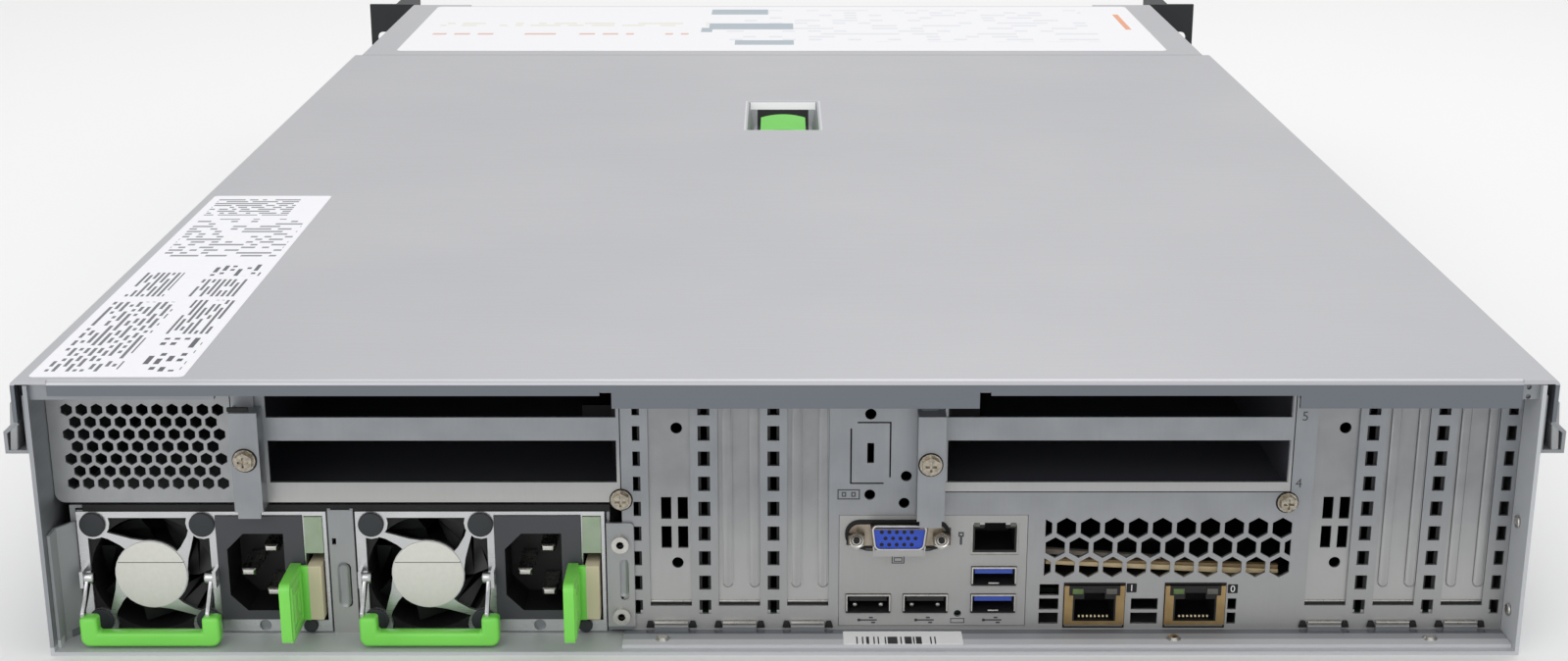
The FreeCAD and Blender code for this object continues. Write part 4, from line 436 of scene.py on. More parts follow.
green_abs = moulded("green_abs_touch_point", "#84E45C", "#72D24B", 0.32, 0.35, 0.03, Coat_Weight=0.15)
pad_abs = moulded("green_abs_lid_pad", "#63CF38", "#56C02E", 0.4, 0.35, 0.03)
cream_abs = moulded("cream_abs_latch_base", "#D8CDB2", "#CFC3A6", 0.5, 0.35)
slate_abs = moulded("slate_abs_housing", "#1F2426", "#191D1F", 0.5, 0.35)
dark_nylon = moulded("dark_glass_filled_nylon", "#46474C", "#3B3C41", 0.55, 0.35)
black_nylon = moulded("black_glass_filled_nylon", "#1B1C1E", "#131415", 0.5, 0.4)
fan_nylon = moulded("black_fan_nylon", "#0D0E10", "#08090A", 0.4, 0.4)
usb_nylon = moulded("black_usb_tongue", "#1B1C1E", "#131415", 0.5, 0.4)
blue_pbt = moulded("blue_pbt_insert", "#2C50C2", "#2746B0", 0.45, 0.3)
blue_face = moulded("blue_pbt_face", "#2C50C2", "#2746B0", 0.45, 0.3)
# painted shadow: near-black for gaps, holes, bores and slots in shade, and also the dark print fields
shadow_paint = moulded("painted_shadow_and_print_black", "#101112", "#0B0B0C", 0.7, 0.6)
rubber = moulded("black_rubber_plug", "#34383C", "#2B2E31", 0.7, 0.25, 0.05)
pipe_pc = moulded("frosted_light_pipe", "#BCCAB4", "#98AE8E", 0.4, 0.3, 0.03, 5.0, Transmission_Weight=0.25)
inlets = [(x + INLET_DX, INLET_Z) for x in PSU_X]
# painted shade in the mouths of the mains inlets
overpaint(dark_nylon, shaded_mouths(inlets, 8.45, -12.4, 12.4, 13.2, 29.0), "#0B0B0C", 0.55)
overpaint(usb_nylon, [(50.0, 75.0, 10.0, 40.0, 5.0, 25.0)], "#3550AE", 0.4)
overpaint(blue_pbt, [(20.0, 50.0, 0.0, 30.0, 20.0, 30.7)], "#A6A6A5", 0.6)
wear(pad_abs, "lid_latch")
wear(green_abs, "psu1_handle", "psu2_handle", "psu1_latch", "psu2_latch")
wear(dark_nylon, "psu1_inlet", "psu2_inlet", "power_button")
wear(usb_nylon, "usb_tongues")
wear(fan_nylon, "psu1_rotor", "psu2_rotor")
wear(black_nylon, "fan_wall", "air_shroud", *["fan_rotor_%d" % i for i in (1, 2, 3, 4)])
wear(slate_abs, "ear_left", "ear_right", *["carrier_lever_%d" % i for i in (1, 2, 3, 4)])
wear(blue_pbt, "vga_insert")
wear(pipe_pc, "psu1_light_pipe", "psu2_light_pipe")


# %% [markdown]
# ## Circuit boards and the black front
# Boards are woven glass laminate under green or black varnish. The front's fascia and carriers
# are powder-coated, which leaves a fine orange peel about a millimetre across.

# %% Boards and powder coat
laminate = moulded("green_varnished_laminate", "#12301F", "#0D2518", 0.42, 1.2, 0.02)
black_laminate = moulded("black_varnished_laminate", "#141516", "#0D0E0F", 0.45, 1.2, 0.02)
powder_black = moulded("black_powder_coat", "#24272A", "#1C1F21", 0.48, 1.0, 0.08)
wear(laminate, "system_board", "memory_modules")
wear(black_laminate, "lan_board", "riser_boards", "backplane")
wear(powder_black, "drive_cage", *["carrier_%d" % i for i in (1, 2, 3, 4)])


# %% [markdown]
# ## How new pieces are made
# Each small piece starts as a primitive at its real size and place. It is shaped in edit mode:
# faces are picked by where they are or which way they look, then inset, moved or bevelled.
# At the end its place is written into the mesh, so the object itself sits at the origin.

# %% Modelling helpers
def fresh():
    """Object mode, with nothing selected."""
    if bpy.context.object and bpy.context.object.mode != "OBJECT":
        bpy.ops.object.mode_set(mode="OBJECT")
    bpy.ops.object.select_all(action="DESELECT")


def only(obj):
    """Object mode, with this object alone selected and active."""
    fresh()
    obj.select_set(True)
    bpy.context.view_layer.objects.active = obj


def edit(obj):
    """Edit mode on one object, with none of its mesh selected."""
    only(obj)
    bpy.ops.object.mode_set(mode="EDIT")
    bpy.ops.mesh.select_all(action="DESELECT")
    return obj


def pick(test, kind="FACE"):
    """In edit mode, selects the faces whose middle and normal pass the test, or the edges
    whose middle and run from end to end pass it."""
    bpy.ops.mesh.select_mode(type=kind)
    bpy.ops.mesh.select_all(action="DESELECT")
    obj = bpy.context.object
    mesh = bmesh.from_edit_mesh(obj.data)
    for item in {"FACE": mesh.faces, "EDGE": mesh.edges}[kind]:
        if kind == "FACE":
            middle, way = item.calc_center_median(), item.normal
        else:
            ends = [vertex.co for vertex in item.verts]
            middle, way = (ends[0] + ends[1]) / 2, ends[1] - ends[0]
        if test(middle, way):
            item.select_set(True)
    mesh.select_flush_mode()
    bmesh.update_edit_mesh(obj.data)


def looks(x=0, y=0, z=0):
    """A test for faces that look this way."""
    aim = Vector((x, y, z))
    return lambda middle, normal: normal.dot(aim) > 0.9


def runs(axis):
    """A test for edges that run along one axis: 0 is X, 1 is Y and 2 is Z."""
    across = [i for i in range(3) if i != axis]
    return lambda middle, way: abs(way[axis]) > 0.01 * MM and sum(abs(way[i]) for i in across) < 0.01 * MM


LEFT, RIGHT, REAR, FRONT = looks(x=-1), looks(x=1), looks(y=-1), looks(y=1)
UNDERSIDE, TOP = looks(z=-1), looks(z=1)
ALONG_Y, ALONG_Z = runs(1), runs(2)


def inset(mm):
    bpy.ops.mesh.inset(thickness=mm * MM)


def shift(x, y, z):
    bpy.ops.transform.translate(value=(x * MM, y * MM, z * MM))


def stretch(x, y, z):
    bpy.ops.transform.resize(value=(x, y, z))


def extrude(x, y, z):
    bpy.ops.mesh.extrude_region_move(TRANSFORM_OT_translate={"value": (x * MM, y * MM, z * MM)})


def round_off(mm, segments):
    bpy.ops.mesh.bevel(offset=mm * MM, segments=segments)


# %% [markdown]
# ## From a shaped mesh to a piece
# A piece gets a last bevel on its sharp edges, because every moulded or cut part has one, and it
# catches the light. Then its modifiers and its place are applied, and it is handed to a body of
# the frame. What repeats is modelled once and copied, each copy with its own mesh.

# %% Finishing and copying
def finish_piece(obj, name, material, body="chassis", smooth=35.0, edge=None):
    """Finishes a piece; edge is a bevel's width in mm, its segments and its smallest angle."""
    only(obj)
    if edge:
        modifier = obj.modifiers.new("edge", "BEVEL")
        modifier.width = edge[0] * MM
        modifier.segments = edge[1]
        modifier.limit_method = "ANGLE"
        modifier.angle_limit = math.radians(edge[2])
    for modifier in list(obj.modifiers):
        bpy.ops.object.modifier_apply(modifier=modifier.name)
    bpy.ops.object.transform_apply(location=True, rotation=True, scale=True)
    bpy.ops.object.shade_smooth_by_angle(angle=math.radians(smooth))
    obj.name = name
    obj.data.name = name
    obj.data.materials.clear()
    obj.data.materials.append(material)
    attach(obj, body)
    return obj


def copy_piece(obj, name, offset_mm, body):
    """A copy with its own mesh, moved by a distance in millimetres."""
    twin = obj.copy()
    twin.data = obj.data.copy()
    twin.data.transform(Matrix.Translation(Vector(offset_mm) * MM))
    twin.name = name
    twin.data.name = name
    twin.parent = None
    bpy.context.collection.objects.link(twin)
    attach(twin, body)
    return twin


def stand_for(made, part):
    """Copies pieces to the second supply, and lets each set stand for its own CAD node."""
    second = "psu2_" + part
    step = (PSU_STEP, 0, 0)
    twins = [copy_piece(piece, piece.name.replace("psu1", "psu2"), step, second) for piece in made]
    for piece in made:
        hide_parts("psu1_" + part)
    for piece in twins:
        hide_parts(second)
    print(part, "pieces:", len(made) + len(twins))


def block(x0, x1, y0, y1, z0, z1):
    """A cube primitive filling a box given in millimetres from the rear edge."""
    fresh()
    middle = at((x0 + x1) / 2, (y0 + y1) / 2, (z0 + z1) / 2)
    bpy.ops.mesh.primitive_cube_add(size=1.0, location=middle)
    obj = bpy.context.object
    obj.scale = Vector((x1 - x0, y1 - y0, z1 - z0)) * MM
    bpy.ops.object.transform_apply(location=False, rotation=False, scale=True)
    return obj


def slab(x, z, wide, tall, y0, y1):
    """A block centred on a point of the rear face."""
    return block(x - wide / 2, x + wide / 2, y0, y1, z - tall / 2, z + tall / 2)


def disc(x, y, z, radius, depth, sides=40):
    """A cylinder primitive whose axis runs front to back, its rear face at y."""
    fresh()
    bpy.ops.mesh.primitive_cylinder_add(vertices=sides, radius=radius * MM, depth=depth * MM,
                                        location=at(x, y + depth / 2, z), rotation=(math.pi / 2, 0, 0))
    obj = bpy.context.object
    bpy.ops.object.transform_apply(location=False, rotation=True, scale=False)
    return obj


def cross_rivet(x, y, z, depth, sides):
    """A cylinder primitive for a rivet whose axis runs from side to side."""
    fresh()
    bpy.ops.mesh.primitive_cylinder_add(vertices=sides, radius=1.9 * MM, depth=depth * MM,
                                        location=at(x, y, z), rotation=(0, math.pi / 2, 0))
    return bpy.context.object


# %% [markdown]
# ## Rubber plugs on the power supplies
# Each supply's face carries four rubber plugs round its fan and a smaller one below the latch.
# They cushion the fan. A plug is a short cylinder: its front is inset for the rim, the middle is
# pushed out a little into a dome, and the outer edge is rounded as moulded rubber is.

# %% Rubber plugs
PLUG_SPOTS = ((0, 0), (32.2, 0), (0, -30.7), (32.2, -30.7))     # from the upper left plug


def make_plug(x, z, radius, name):
    plug = edit(disc(x, FACE_Y - 1.0, z, radius + 0.15, 0.9))
    pick(REAR)
    inset(0.7)
    shift(0, -0.15, 0)
    inset(radius * 0.4)
    shift(0, -0.12, 0)
    return finish_piece(plug, name, rubber, "psu1", 40.0, (0.25, 2, 50.0))


def make_plugs():
    big = make_plug(PSU_X[0] + FAN_DX - 16.1, FAN_Z + 15.9, 3.6, "psu1_plug_1")
    for i, (dx, dz) in enumerate(PLUG_SPOTS[1:]):
        copy_piece(big, "psu1_plug_%d" % (i + 2), (dx, 0, dz), "psu1")
    small = make_plug(PSU_X[0] + 30.35, 3.65, 1.95, "psu1_plug_5")
    for i, (dx, dz) in enumerate(PLUG_SPOTS):
        copy_piece(big, "psu2_plug_%d" % (i + 1), (PSU_STEP + dx, 0, dz), "psu2")
    copy_piece(small, "psu2_plug_5", (PSU_STEP, 0, 0), "psu2")
    print("plugs:", 2 * (len(PLUG_SPOTS) + 1))


make_plugs()


# %% [markdown]
# ## The label disc on each fan guard
# A round paper label covers the middle of the guard. It is matt, warm pale grey, and carries one
# thin ruled line. Paper has soft fibre clouds; they are drawn 1.5 mm wide. The disc's rim is
# inset and its middle stands a little proud, so that the paper's edge shows.

# %% Fan labels
RULE_Z = FAN_Z + 3.9


def make_fan_labels():
    paper = clouded("matt_paper_label", "#E3E2DB", "#D6D5CE", 0.62, 1.5, 3.0)[0]
    rule = inside(paper, [(-300.0, 0.0, 0.0, 40.0, RULE_Z - 0.12, RULE_Z + 0.12)])
    lay_colour(paper, rule, "#55534F")
    label = edit(disc(PSU_X[0] + FAN_DX, FACE_Y - 0.35, FAN_Z, 10.5, 0.4, 72))
    pick(REAR)
    inset(0.4)
    shift(0, -0.08, 0)
    first = finish_piece(label, "psu1_fan_label", paper, "psu1")
    copy_piece(first, "psu2_fan_label", (PSU_STEP, 0, 0), "psu2")
    print("fan labels: 2")


make_fan_labels()


# %% [markdown]
# ## Contacts in the mains inlets
# The three blades in a mains inlet are nickel-plated brass with a chamfered tip. Each is a
# stretched cube in the moulded core; its tip is extruded and scaled down for the chamfer.

# %% Inlet blades
BLADES = ((4.2, 7.0, 1.7), (4.2, -7.0, 1.7), (-2.6, 0.0, 0.2))      # x and z from the middle, depth


def make_blade(x, z, y0, name):
    blade = edit(slab(x, z, 4.3, 2.3, y0, FACE_Y + 14.0))
    pick(REAR)
    extrude(0, -0.9, 0)
    stretch(0.7, 1.0, 0.5)
    return finish_piece(blade, name, nickel, "psu1", edge=(0.12, 2, 30.0))


def make_blades():
    for i, (dx, dz, deep) in enumerate(BLADES):
        blade = make_blade(PSU_X[0] + INLET_DX + dx, INLET_Z + dz, FACE_Y + deep, "psu1_blade_%d" % (i + 1))
        copy_piece(blade, "psu2_blade_%d" % (i + 1), (PSU_STEP, 0, 0), "psu2")
    print("inlet blades:", 2 * len(BLADES))


make_blades()


# %% [markdown]
# ## The green bail handle
# The bail is one green moulding, hung on two bright steel straps. The bar is a stretched cube; it
# is cut near both ends with bisect, the end faces are pulled up into two posts, and every edge
# gets a generous round, because a hand has to pull on it.

# %% Bail handles
BAIL_X = -186.3                     # middle of the first bail
BAIL_HALF, BAIL_POST = 20.5, 5.2    # half width, and width of a post
BAIL_LOW, BAR_TALL, BAIL_TALL = 1.9, 4.3, 9.2


def make_bail():
    bar = edit(block(BAIL_X - BAIL_HALF, BAIL_X + BAIL_HALF, 1.7, 6.3, BAIL_LOW, BAIL_LOW + BAR_TALL))
    gap = (BAIL_HALF - BAIL_POST) * MM
    for side in (-1, 1):
        bpy.ops.mesh.select_all(action="SELECT")
        bpy.ops.mesh.bisect(plane_co=at(BAIL_X, 4.0, 4.0) + Vector((side * gap, 0, 0)), plane_no=(1, 0, 0))
    pick(lambda middle, normal: TOP(middle, normal) and abs(middle.x) > gap)
    extrude(0, 0, BAIL_TALL - BAR_TALL)
    pick(lambda middle, way: abs(way.y) > MM and middle.z < -2.0 * MM
         and abs(abs(middle.x) - BAIL_HALF * MM) < 0.2 * MM, "EDGE")
    round_off(2.6, 6)
    return finish_piece(bar, "psu1_bail", green_abs, "psu1_handle", 50.0, (1.1, 4, 50.0))


def make_strap(x, name):
    """A steel strap that leans back from the bail's post to the pivot."""
    strap = edit(block(x - 0.6, x + 0.6, 3.0, 5.4, 8.0, 12.0))
    pick(TOP)
    for back, up, deeper in ((3.6, 3.5, 1.3), (3.4, 4.0, 1.1), (0.1, 1.9, 0.6)):
        extrude(0, back, up)
        stretch(1.0, deeper, 1.0)
    return finish_piece(strap, name, strap_steel, "psu1_handle", edge=(0.2, 2, 30.0))


def make_handles():
    fan = PSU_X[0] + FAN_DX
    made = [make_bail()]
    for i, side in enumerate((-1, 1)):
        made.append(make_strap(fan + side * 18.3, "psu1_strap_%d" % (i + 1)))
        pivot = cross_rivet(fan + side * 17.9, 11.3, 20.0, 3.2, 28)
        name = "psu1_pivot_%d" % (i + 1)
        made.append(finish_piece(pivot, name, strap_steel, "psu1_handle", edge=(0.5, 3, 50.0)))
    stand_for(made, "handle")


make_handles()


# %% [markdown]
# ## The release latch
# Next to each inlet a green thumb tab springs sideways to free the supply. Its flat side carries
# nested raised ridges, so that a thumb grips it: the face is inset and lifted, inset again and
# lowered, twice over. The tab sits on a cream base that stays inside the case.

# %% Release latches
BASE_X = PSU_X[0] + 30.8            # left side of the cream base
BASE_LOW, BASE_HIGH = 6.6, 23.8
TAB_X = BASE_X - 5.0                # left side of the green tab
TAB_END = FACE_Y - 1.9


def make_tab():
    tab = edit(block(TAB_X, TAB_X + 3.1, FACE_Y - 18.6, TAB_END, 5.6, 24.4))
    pick(RIGHT)
    for lift in (0.45, -0.45, 0.45, -0.45):
        inset(1.3)
        inset(0.35)
        shift(lift, 0, 0)
    pick(lambda middle, way: abs(way.x) > 3.0 * MM and middle.y < -8.0 * MM, "EDGE")
    round_off(2.2, 5)
    return finish_piece(tab, "psu1_tab", green_abs, "psu1_latch", 50.0, (0.35, 3, 40.0))


def make_latch_base():
    base = edit(block(BASE_X, BASE_X + 4.2, FACE_Y - 3.0, FACE_Y + 9.0, BASE_LOW, BASE_HIGH))
    pick(LEFT)
    inset(1.2)
    pick(REAR)
    inset(0.6)
    shift(0, 0.2, 0)
    return finish_piece(base, "psu1_latch_base", cream_abs, "psu1_latch", edge=(0.25, 2, 40.0))


def make_bridge():
    """Green web between the tab and its base."""
    bridge = edit(block(BASE_X - 2.2, BASE_X + 0.3, FACE_Y - 3.0, TAB_END, BASE_LOW, BASE_HIGH))
    pick(REAR)
    inset(0.4)
    shift(0, -0.15, 0)
    return finish_piece(bridge, "psu1_latch_bridge", green_abs, "psu1_latch")


stand_for([make_tab(), make_latch_base(), make_bridge()], "latch")


# %% [markdown]
# ## Contacts and lamps in the network sockets
# Eight gold-flashed springs stand at the floor of each socket. Only their bent tips catch light, so
# one tip is modelled with its far end lifted, and an array repeats it at the real pitch. Two
# small light windows sit in the upper corners: a green one and an amber one.

# %% Network sockets
CONTACTS, CONTACT_PITCH = 8, 1.2


def contact_row(x, z, y0, name):
    first = x - CONTACT_PITCH * (CONTACTS - 1) / 2
    pin = edit(block(first - 0.27, first + 0.27, y0, y0 + 0.5, z, z + 0.5))
    pick(FRONT)
    shift(0, 0, 0.1)
    row = pin.modifiers.new("row", "ARRAY")
    row.count = CONTACTS
    row.use_relative_offset = False
    row.use_constant_offset = True
    row.constant_offset_displace = (CONTACT_PITCH * MM, 0, 0)
    finish_piece(pin, name, gold, edge=(0.06, 1, 40.0))


def light_window(x, z, y, wide, tall, material, name):
    window = edit(slab(x, z, wide, tall, y, y + 0.8))
    pick(REAR)
    inset(0.25)
    shift(0, -0.12, 0)
    finish_piece(window, name, material, edge=(0.1, 2, 40.0))


def dress_sockets():
    green = moulded("frosted_green_lamp", "#6F8A4E", "#4F6636", 0.35, 0.3, 0.03, 2.0, Transmission_Weight=0.2)
    amber = moulded("frosted_amber_lamp", "#77756E", "#55534D", 0.35, 0.3, 0.03, 2.0, Transmission_Weight=0.2)
    for i, x in enumerate(LAN_X):
        contact_row(x, 5.6, FACE_Y + 0.9, "lan_contacts_%d" % (i + 1))
        for colour, side, material in (("green", -1, green), ("amber", 1, amber)):
            name = "lan_%s_lamp_%d" % (colour, i + 1)
            light_window(x + side * 5.0, 14.7, FACE_Y - 0.95, 3.2, 1.7, material, name)
    x, z = MANAGEMENT
    contact_row(x, z - 3.6, 29.0, "management_contacts")
    for i, side in enumerate((-1, 1)):
        light_window(x + side * 5.4, z + 4.4, FACE_Y, 1.8, 1.0, amber, "management_lamp_%d" % (i + 1))
    print("socket pieces: 9")


dress_sockets()


# %% [markdown]
# ## Words that say nothing
# Real labels carry print; here it is only ruled grey words, broken at random. The place is cut
# into cells, a white noise gives each cell a chance, and only some cells are inked. A stain lays
# the ink over the paper where the mask is 1.

# %% Mock print
PRINT_LOW, PRINT_HIGH = 80.0, 90.0      # heights between which the lid's labels are printed


def print_box(x0, x1, y0, y1):
    return (x0, x1, y0, y1, PRINT_LOW, PRINT_HIGH)


def words(material, box, along, row_mm, word_mm, colour, gaps=0.3):
    """Rows of broken words inside a box; along is the axis they run on, gaps the share left out."""
    tree = material.node_tree
    split = add(tree, "SeparateXYZ", tree.nodes["Texture Coordinate"].outputs["Object"])
    across = {"X": "Y", "Y": "X"}[along]
    row = add(tree, "Math", split[across], row_mm * MM, operation="DIVIDE")[0]
    word = add(tree, "Math", split[along], word_mm * MM, operation="DIVIDE")[0]
    cell = add(tree, "CombineXYZ", add(tree, "Math", word, operation="FLOOR")[0],
               add(tree, "Math", row, operation="FLOOR")[0])[0]
    chance = add(tree, "TexWhiteNoise", Vector=cell)["Value"]
    shown = add(tree, "Math", chance, gaps, operation="GREATER_THAN")[0]
    height = add(tree, "Math", row, operation="FRACT")[0]
    rule = add(tree, "Math", height, 0.5, 0.27, operation="COMPARE")[0]
    mask = add(tree, "Math", shown, rule, operation="MULTIPLY")[0]
    mask = add(tree, "Math", mask, inside(material, [print_box(*box)]), operation="MULTIPLY")[0]
    lay_colour(material, mask, colour)


print("mock print between", PRINT_LOW, "and", PRINT_HIGH, "mm")

# %% [markdown]
# ## Labels
# A long type label lies along the lid's left edge, and a wide one covers the front cover. The
# paper is 0.12 mm thick with round corners, so it throws a thin edge shadow.

# %% Printed labels
TYPE_PRINT = (                      # box, axis, row height, word length, ink, gaps
    ((-211.5, -181.0, 189.0, 214.0), "X", 2.9, 1.6, "#7C7D82", 0.25),
    ((-211.5, -172.5, 132.0, 184.0), "X", 3.6, 2.4, "#8C8D92", 0.55),
    ((-211.0, -198.0, 84.0, 112.0), "Y", 1.7, 4.5, "#6B6C71", 0.2),
    ((-190.0, -175.5, 84.0, 104.0), "Y", 1.7, 4.5, "#6B6C71", 0.2),
    ((-190.0, -173.0, 108.0, 122.0), "Y", 2.6, 2.1, "#5E5F64", 0.5),
    ((-212.0, -191.0, 8.0, 78.0), "Y", 2.0, 2.5, "#6F7075", 0.42),
    ((-186.5, -173.0, 44.0, 80.0), "Y", 1.7, 4.0, "#66676C", 0.25),
    ((-186.5, -173.0, 8.0, 40.0), "Y", 3.0, 2.6, "#55565B", 0.6))
PLAN_PRINT = (
    ((-188.0, -40.0, 613.0, 622.0), "X", 9.0, 4.2, "#D8D2B4", 0.45),
    ((-188.0, -40.0, 581.0, 590.0), "X", 9.0, 4.2, "#DDB9AC", 0.45),
    ((-30.0, 170.0, 560.0, 668.0), "X", 9.0, 7.0, "#E2E3E7", 0.62))
PLAN_BLOCKS = ((-40.0, 6.0, 601.0, 621.0), (-40.0, -8.0, 652.0, 670.0),
               (-25.0, 6.0, 552.0, 566.0), (-44.0, -38.0, 592.0, 606.0))
PLAN_STRIPE = ((187.0, 191.0, 600.0, 652.0), "Y", 8.0, 60.0, "#E7A07C", 0.0)


def label_sheet(name, x0, x1, y0, y1, z, material, body="chassis", corner=1.5):
    sheet = edit(block(x0, x1, y0, y1, z - 0.05, z + 0.12))
    pick(ALONG_Z, "EDGE")
    round_off(corner, 4)
    pick(TOP)
    inset(0.3)
    finish_piece(sheet, name, material, body)
    print("label", name, x1 - x0, "by", y1 - y0, "mm")


def make_labels():
    type_paper = clouded("printed_type_label", "#F4F4F8", "#EEEEF2", 0.5, 2.0, 2.0)[0]
    for row in TYPE_PRINT:
        words(type_paper, *row)
    label_sheet("type_label", -214.5, -170.5, 3.0, 219.0, LID_TOP, type_paper, "lid")
    plan_paper = clouded("printed_plan_label", "#F2F2F4", "#EEEEF2", 0.5, 2.0, 2.0)[0]
    for row in PLAN_PRINT:
        words(plan_paper, *row)
    lay_colour(plan_paper, inside(plan_paper, [print_box(*box) for box in PLAN_BLOCKS]), "#AAB6BD")
    words(plan_paper, *PLAN_STRIPE)
    label_sheet("plan_label", -199.0, 198.5, 534.0, 681.0, LID_TOP, plan_paper, corner=3.0)


make_labels()


# %% [markdown]
# ## The rim of the latch recess
# The recess is pressed into the lid, which leaves a thin turned edge all round it. It is a flat
# plate whose middle is taken out: both faces are inset and the two loops bridged. It stands
# 0.08 mm proud, and its paler finish is a painted highlight on the turned edge.

# %% Recess rim
def make_recess_rim():
    rim = edit(block(-16.9, 16.9, 337.4, 402.6, LID_TOP - 0.05, LID_TOP + 0.08))
    pick(ALONG_Z, "EDGE")
    round_off(1.2, 4)
    pick(lambda middle, normal: abs(normal.z) > 0.9)
    inset(0.7)
    bpy.ops.mesh.bridge_edge_loops()
    finish_piece(rim, "recess_rim", rim_sheet, "lid")
    print("recess rim: 1")


make_recess_rim()


# %% [markdown]
# ## Bar label on the floor lip
# A small white label with plain bars sits on the tray's rear lip. The bars are a stretched
# random pattern; they stand for a code and hold none.

# %% Bar label
BAR_WIDE = 0.42


def make_bar_label():
    paper, tree, shader, place = start("white_bar_label", "#FFFFFF", Roughness=0.45)
    across = add(tree, "SeparateXYZ", place)["X"]
    step = add(tree, "Math", across, BAR_WIDE * MM, operation="DIVIDE")[0]
    step = add(tree, "Math", step, operation="FLOOR")[0]
    chance = add(tree, "TexWhiteNoise", noise_dimensions="1D", W=step)["Value"]
    bars = add(tree, "Math", chance, 0.5, operation="GREATER_THAN")[0]
    field = inside(paper, [(21.0, 44.5, 2.9, 7.9, 0.0, 10.0)])
    tint(tree, shader, add(tree, "Math", bars, field, operation="MULTIPLY")[0], "#FFFFFF", "#2E2E32")
    label_sheet("bar_label", 17.2, 52.5, 2.8, 11.6, 2.2, paper, corner=0.4)


make_bar_label()


# %% [markdown]
# ## Numbers and port marks
# Slots and sockets are numbered on the sheet in grey print. The marks for the ports are plain
# frames and bars, thin plates that stand 0.04 mm proud. A frame is a plate whose middle is inset
# and taken out; a number is a text object turned into a mesh.

# %% Printed shapes
PRINT_OUT, PRINT_IN = 0.04, 0.02    # how far print stands out of its plane, and into it


def frame_mark(name, x, z, wide, tall, y, line, material):
    """A thin frame, for print and for painted shadow: a plate whose middle is taken out."""
    mark = edit(slab(x, z, wide, tall, y - PRINT_OUT, y + PRINT_IN))
    pick(REAR)
    inset(line)
    bpy.ops.mesh.delete(type="FACE")
    pick(FRONT)
    bpy.ops.mesh.delete(type="FACE")
    bpy.ops.mesh.select_all(action="SELECT")
    bpy.ops.mesh.normals_make_consistent(inside=False)
    finish_piece(mark, name, material)


def bar_mark(name, x, z, wide, tall, y, material, corner=0.3):
    """A printed bar; corner is the round's share of the shorter side."""
    mark = edit(slab(x, z, wide, tall, y - PRINT_OUT, y + PRINT_IN))
    pick(ALONG_Y, "EDGE")
    round_off(min(wide, tall) * corner, 3)
    finish_piece(mark, name, material)


def number(text, x, z, y, size_mm, name, material):
    fresh()
    bpy.ops.object.text_add(location=at(x, y, z), rotation=(math.pi / 2, 0, 0))
    data = bpy.context.object.data
    data.body = text
    data.size = size_mm * MM
    data.extrude = 0.02 * MM
    data.align_x = "CENTER"
    data.align_y = "CENTER"
    bpy.ops.object.convert(target="MESH")
    finish_piece(bpy.context.object, name, material)


ink = clouded("grey_screen_print", "#4A4B4F", "#333438", 0.6, 0.4, 2.0)[0]
white_ink = moulded("white_screen_print", "#E6E6E6", "#D8D8D8", 0.6, 0.4)
print("inks:", ink.name, white_ink.name)

# %% [markdown]
# ## Where the print stands
# The sheet and the shield plate lie 0.1 mm apart, so each has its own printing plane. The two
# network numbers are white on a dark field, and each network socket has a painted shadow round it.

# %% Print on the panel
ON_SHEET = FACE_Y - 0.01
ON_SHIELD = FACE_Y + 0.09
GREY_FRAMES = (                     # name, x, z, width, height, plane, line
    ("serial_mark", 18.6, 45.3, 6.6, 3.2, ON_SHEET, 0.35),
    ("display_mark", 33.4, 24.6, 3.8, 2.5, ON_SHIELD, 0.3),
    ("display_mark_inner", 33.4, 24.6, 2.5, 1.4, ON_SHIELD, 0.25),
    ("serial_dot_1", 17.2, 45.3, 1.3, 1.5, ON_SHEET, 0.35),
    ("serial_dot_2", 20.0, 45.3, 1.3, 1.5, ON_SHEET, 0.35),
    ("lamp_mark", 51.4, 4.9, 4.2, 1.6, ON_SHIELD, 0.25),
    ("service_mark_head", 51.9, 32.6, 1.6, 1.5, ON_SHIELD, 0.45))
PORT_BARS = (                       # name, place from the port's middle, width, height
    ("mark", 0.0, 5.1, 5.4, 0.45), ("dot", -2.7, 5.1, 0.9, 0.9),
    ("bar", 0.9, 5.9, 1.2, 0.5), ("bar_low", 1.6, 4.3, 1.2, 0.5))


def make_print():
    number("5", 150.9, 69.4, ON_SHEET, 4.0, "slot_number_5", ink)
    number("4", 150.4, 48.6, ON_SHEET, 4.0, "slot_number_4", ink)
    for i, x in enumerate(LAN_X):
        frame_mark("lan_shadow_%d" % (i + 1), x, 9.9, 18.4, 14.6, FACE_Y - 0.08, 0.55, shadow_paint)
    for digit, x, z in (("1", 103.0, 15.5), ("0", 133.1, 15.2)):
        bar_mark("socket_field_" + digit, x, z, 3.0, 2.9, ON_SHEET, shadow_paint, 0.08)
        number(digit, x, z - 0.1, ON_SHEET - 0.08, 3.0, "socket_number_" + digit, white_ink)
    for row in GREY_FRAMES:
        frame_mark(*row, ink)
    bar_mark("service_mark", 51.9, 30.6, 0.7, 2.6, ON_SHIELD, ink)
    for i, (x, _) in enumerate(USB_PORTS[:2] + USB_PORTS[3:]):
        for name, dx, z, wide, tall in PORT_BARS:
            bar_mark("port_%s_%d" % (name, i + 1), x + dx, z, wide, tall, ON_SHIELD, ink)
    print("print marks:", 9 + len(GREY_FRAMES) + 3 * len(PORT_BARS))


make_print()


# %% [markdown]
# ## The board edge behind the honeycomb
# Through the lower hexagons one sees the tan edge of the network card and its bracket, which
# stand a little askew. Each is a pale bar whose left end is moved up and made thinner.

